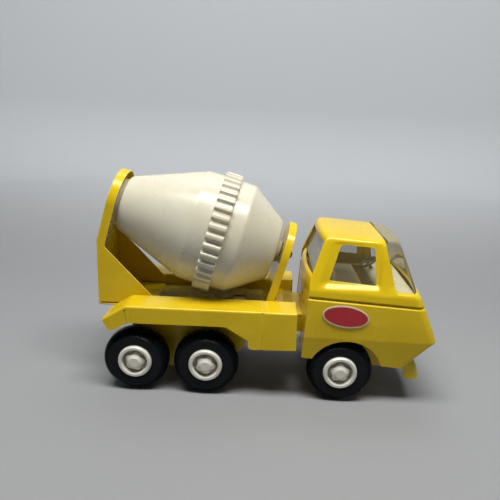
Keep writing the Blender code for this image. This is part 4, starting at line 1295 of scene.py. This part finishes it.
def make_badges():
    """A plain oval sticker: a red field in a pale rim."""
    for side, label in ((-1, "right"), (1, "left")):
        bm = bmesh.new()
        rings = [oval_ring(bm, length, height, side * (CAB_HALF + out))
                 for length, height, out in BADGE_RINGS]
        out = BADGE_RINGS[-1][2]
        rings.append([bm.verts.new((BADGE_CENTRE[0], side * (CAB_HALF + out), BADGE_CENTRE[1]))])
        for a, b in zip(rings, rings[1:]):
            join_rings(bm, a, b)
        for face in rings[-1][0].link_faces:
            face.material_index = 1
        bm.faces.new(rings[0])
        badge = add(f"fine_door_badge_{label}", bm, [RIM, RED], 40)
        stand_for(badge)


# --- Kept panes, stage, camera and light ---

FLOOR_GREY = (0.26, 0.264, 0.27)
WALL_GREY = (0.62, 0.635, 0.65)


def keep_panes():
    for name, material in (("rear_window", CLEAR_REAR), ("side_window_left", CLEAR_SIDE),
                           ("side_window_right", CLEAR_SIDE)):
        pane = NODES[name]
        pane.data.materials.clear()
        pane.data.materials.append(material)


def make_stage():
    """A pale round floor that curves up into a wall all the way round, palest at the far side."""
    made = Finish("pale_floor", FLOOR_GREY, 0.8, Specular_IOR_Level=0.2)
    made.colour(made.mixed(made.spread(made.axis("Y"), 0.15, 1.1), FLOOR_GREY, WALL_GREY))
    bm = bmesh.new()
    profile = [(0, 0), (1000, 0)] + arc((1000, 200), 200, 270, 360, 16) + [(1200, 1600)]
    rings = [round_ring(bm, radius, height, 96) for radius, height in profile]
    for a, b in zip(rings, rings[1:]):
        join_rings(bm, a, b)
    bmesh.ops.remove_doubles(bm, verts=bm.verts, dist=0.01)
    to_metres(add("stage_floor", bm, [made.material], 60))


CAMERA_PLACE = (-0.00429, -0.36719, 0.20121)
CAMERA_YAW = -0.022822
CAMERA_PITCH = 0.277183
CAMERA_ROLL = 0.04508


def make_camera():
    data = bpy.data.cameras.new("camera")
    data.lens = 36.7
    data.sensor_width = 36
    data.clip_start = 0.01
    camera = bpy.data.objects.new("camera", data)
    turn = Matrix.Rotation(-CAMERA_YAW, 4, "Z") @ Matrix.Rotation(pi / 2 - CAMERA_PITCH, 4, "X")
    camera.matrix_world = Matrix.Translation(CAMERA_PLACE) @ turn @ Matrix.Rotation(CAMERA_ROLL, 4, "Z")
    SCENE.collection.objects.link(camera)
    SCENE.camera = camera


def lamp(name, place, target, size, power, colour=(1, 1, 1), size_y=None):
    data = bpy.data.lights.new(name, "AREA")
    data.energy = power
    data.color = colour
    data.size = size
    if size_y is not None:
        data.shape = "RECTANGLE"
        data.size_y = size_y
    light = bpy.data.objects.new(name, data)
    light.location = place
    light.rotation_euler = (Vector(target) - Vector(place)).to_track_quat("-Z", "Y").to_euler()
    SCENE.collection.objects.link(light)


def make_light():
    world = bpy.data.worlds.new("studio")
    world.use_nodes = True
    background = world.node_tree.nodes["Background"]
    background.inputs["Color"].default_value = (0.9, 0.95, 1, 1)
    background.inputs["Strength"].default_value = 0.005
    SCENE.world = world
    lamp("overhead", (0.02, -0.24, 0.93), (0.02, 0, 0.05), 0.9, 13, (1, 0.99, 0.97), 0.24)
    lamp("side fill", (0.95, -0.25, 0.4), (0, 0, 0.06), 0.5, 0.35, (1, 0.98, 0.95))
    lamp("backdrop", (0, 0.6, 1.3), (0, 1.2, 0.4), 0.8, 7.2, (0.96, 0.98, 1))
    SCENE.view_settings.view_transform = "Standard"


make_wheels()
make_rear_body()
make_chassis_frame()
make_drum()
make_rear_bracket()
make_front_support()
make_rivets()
make_cab_shell()
make_rear_panel()
make_windshield()
make_interior()
make_steering()
make_bumper()
make_badges()
keep_panes()
make_stage()
make_camera()
make_light()
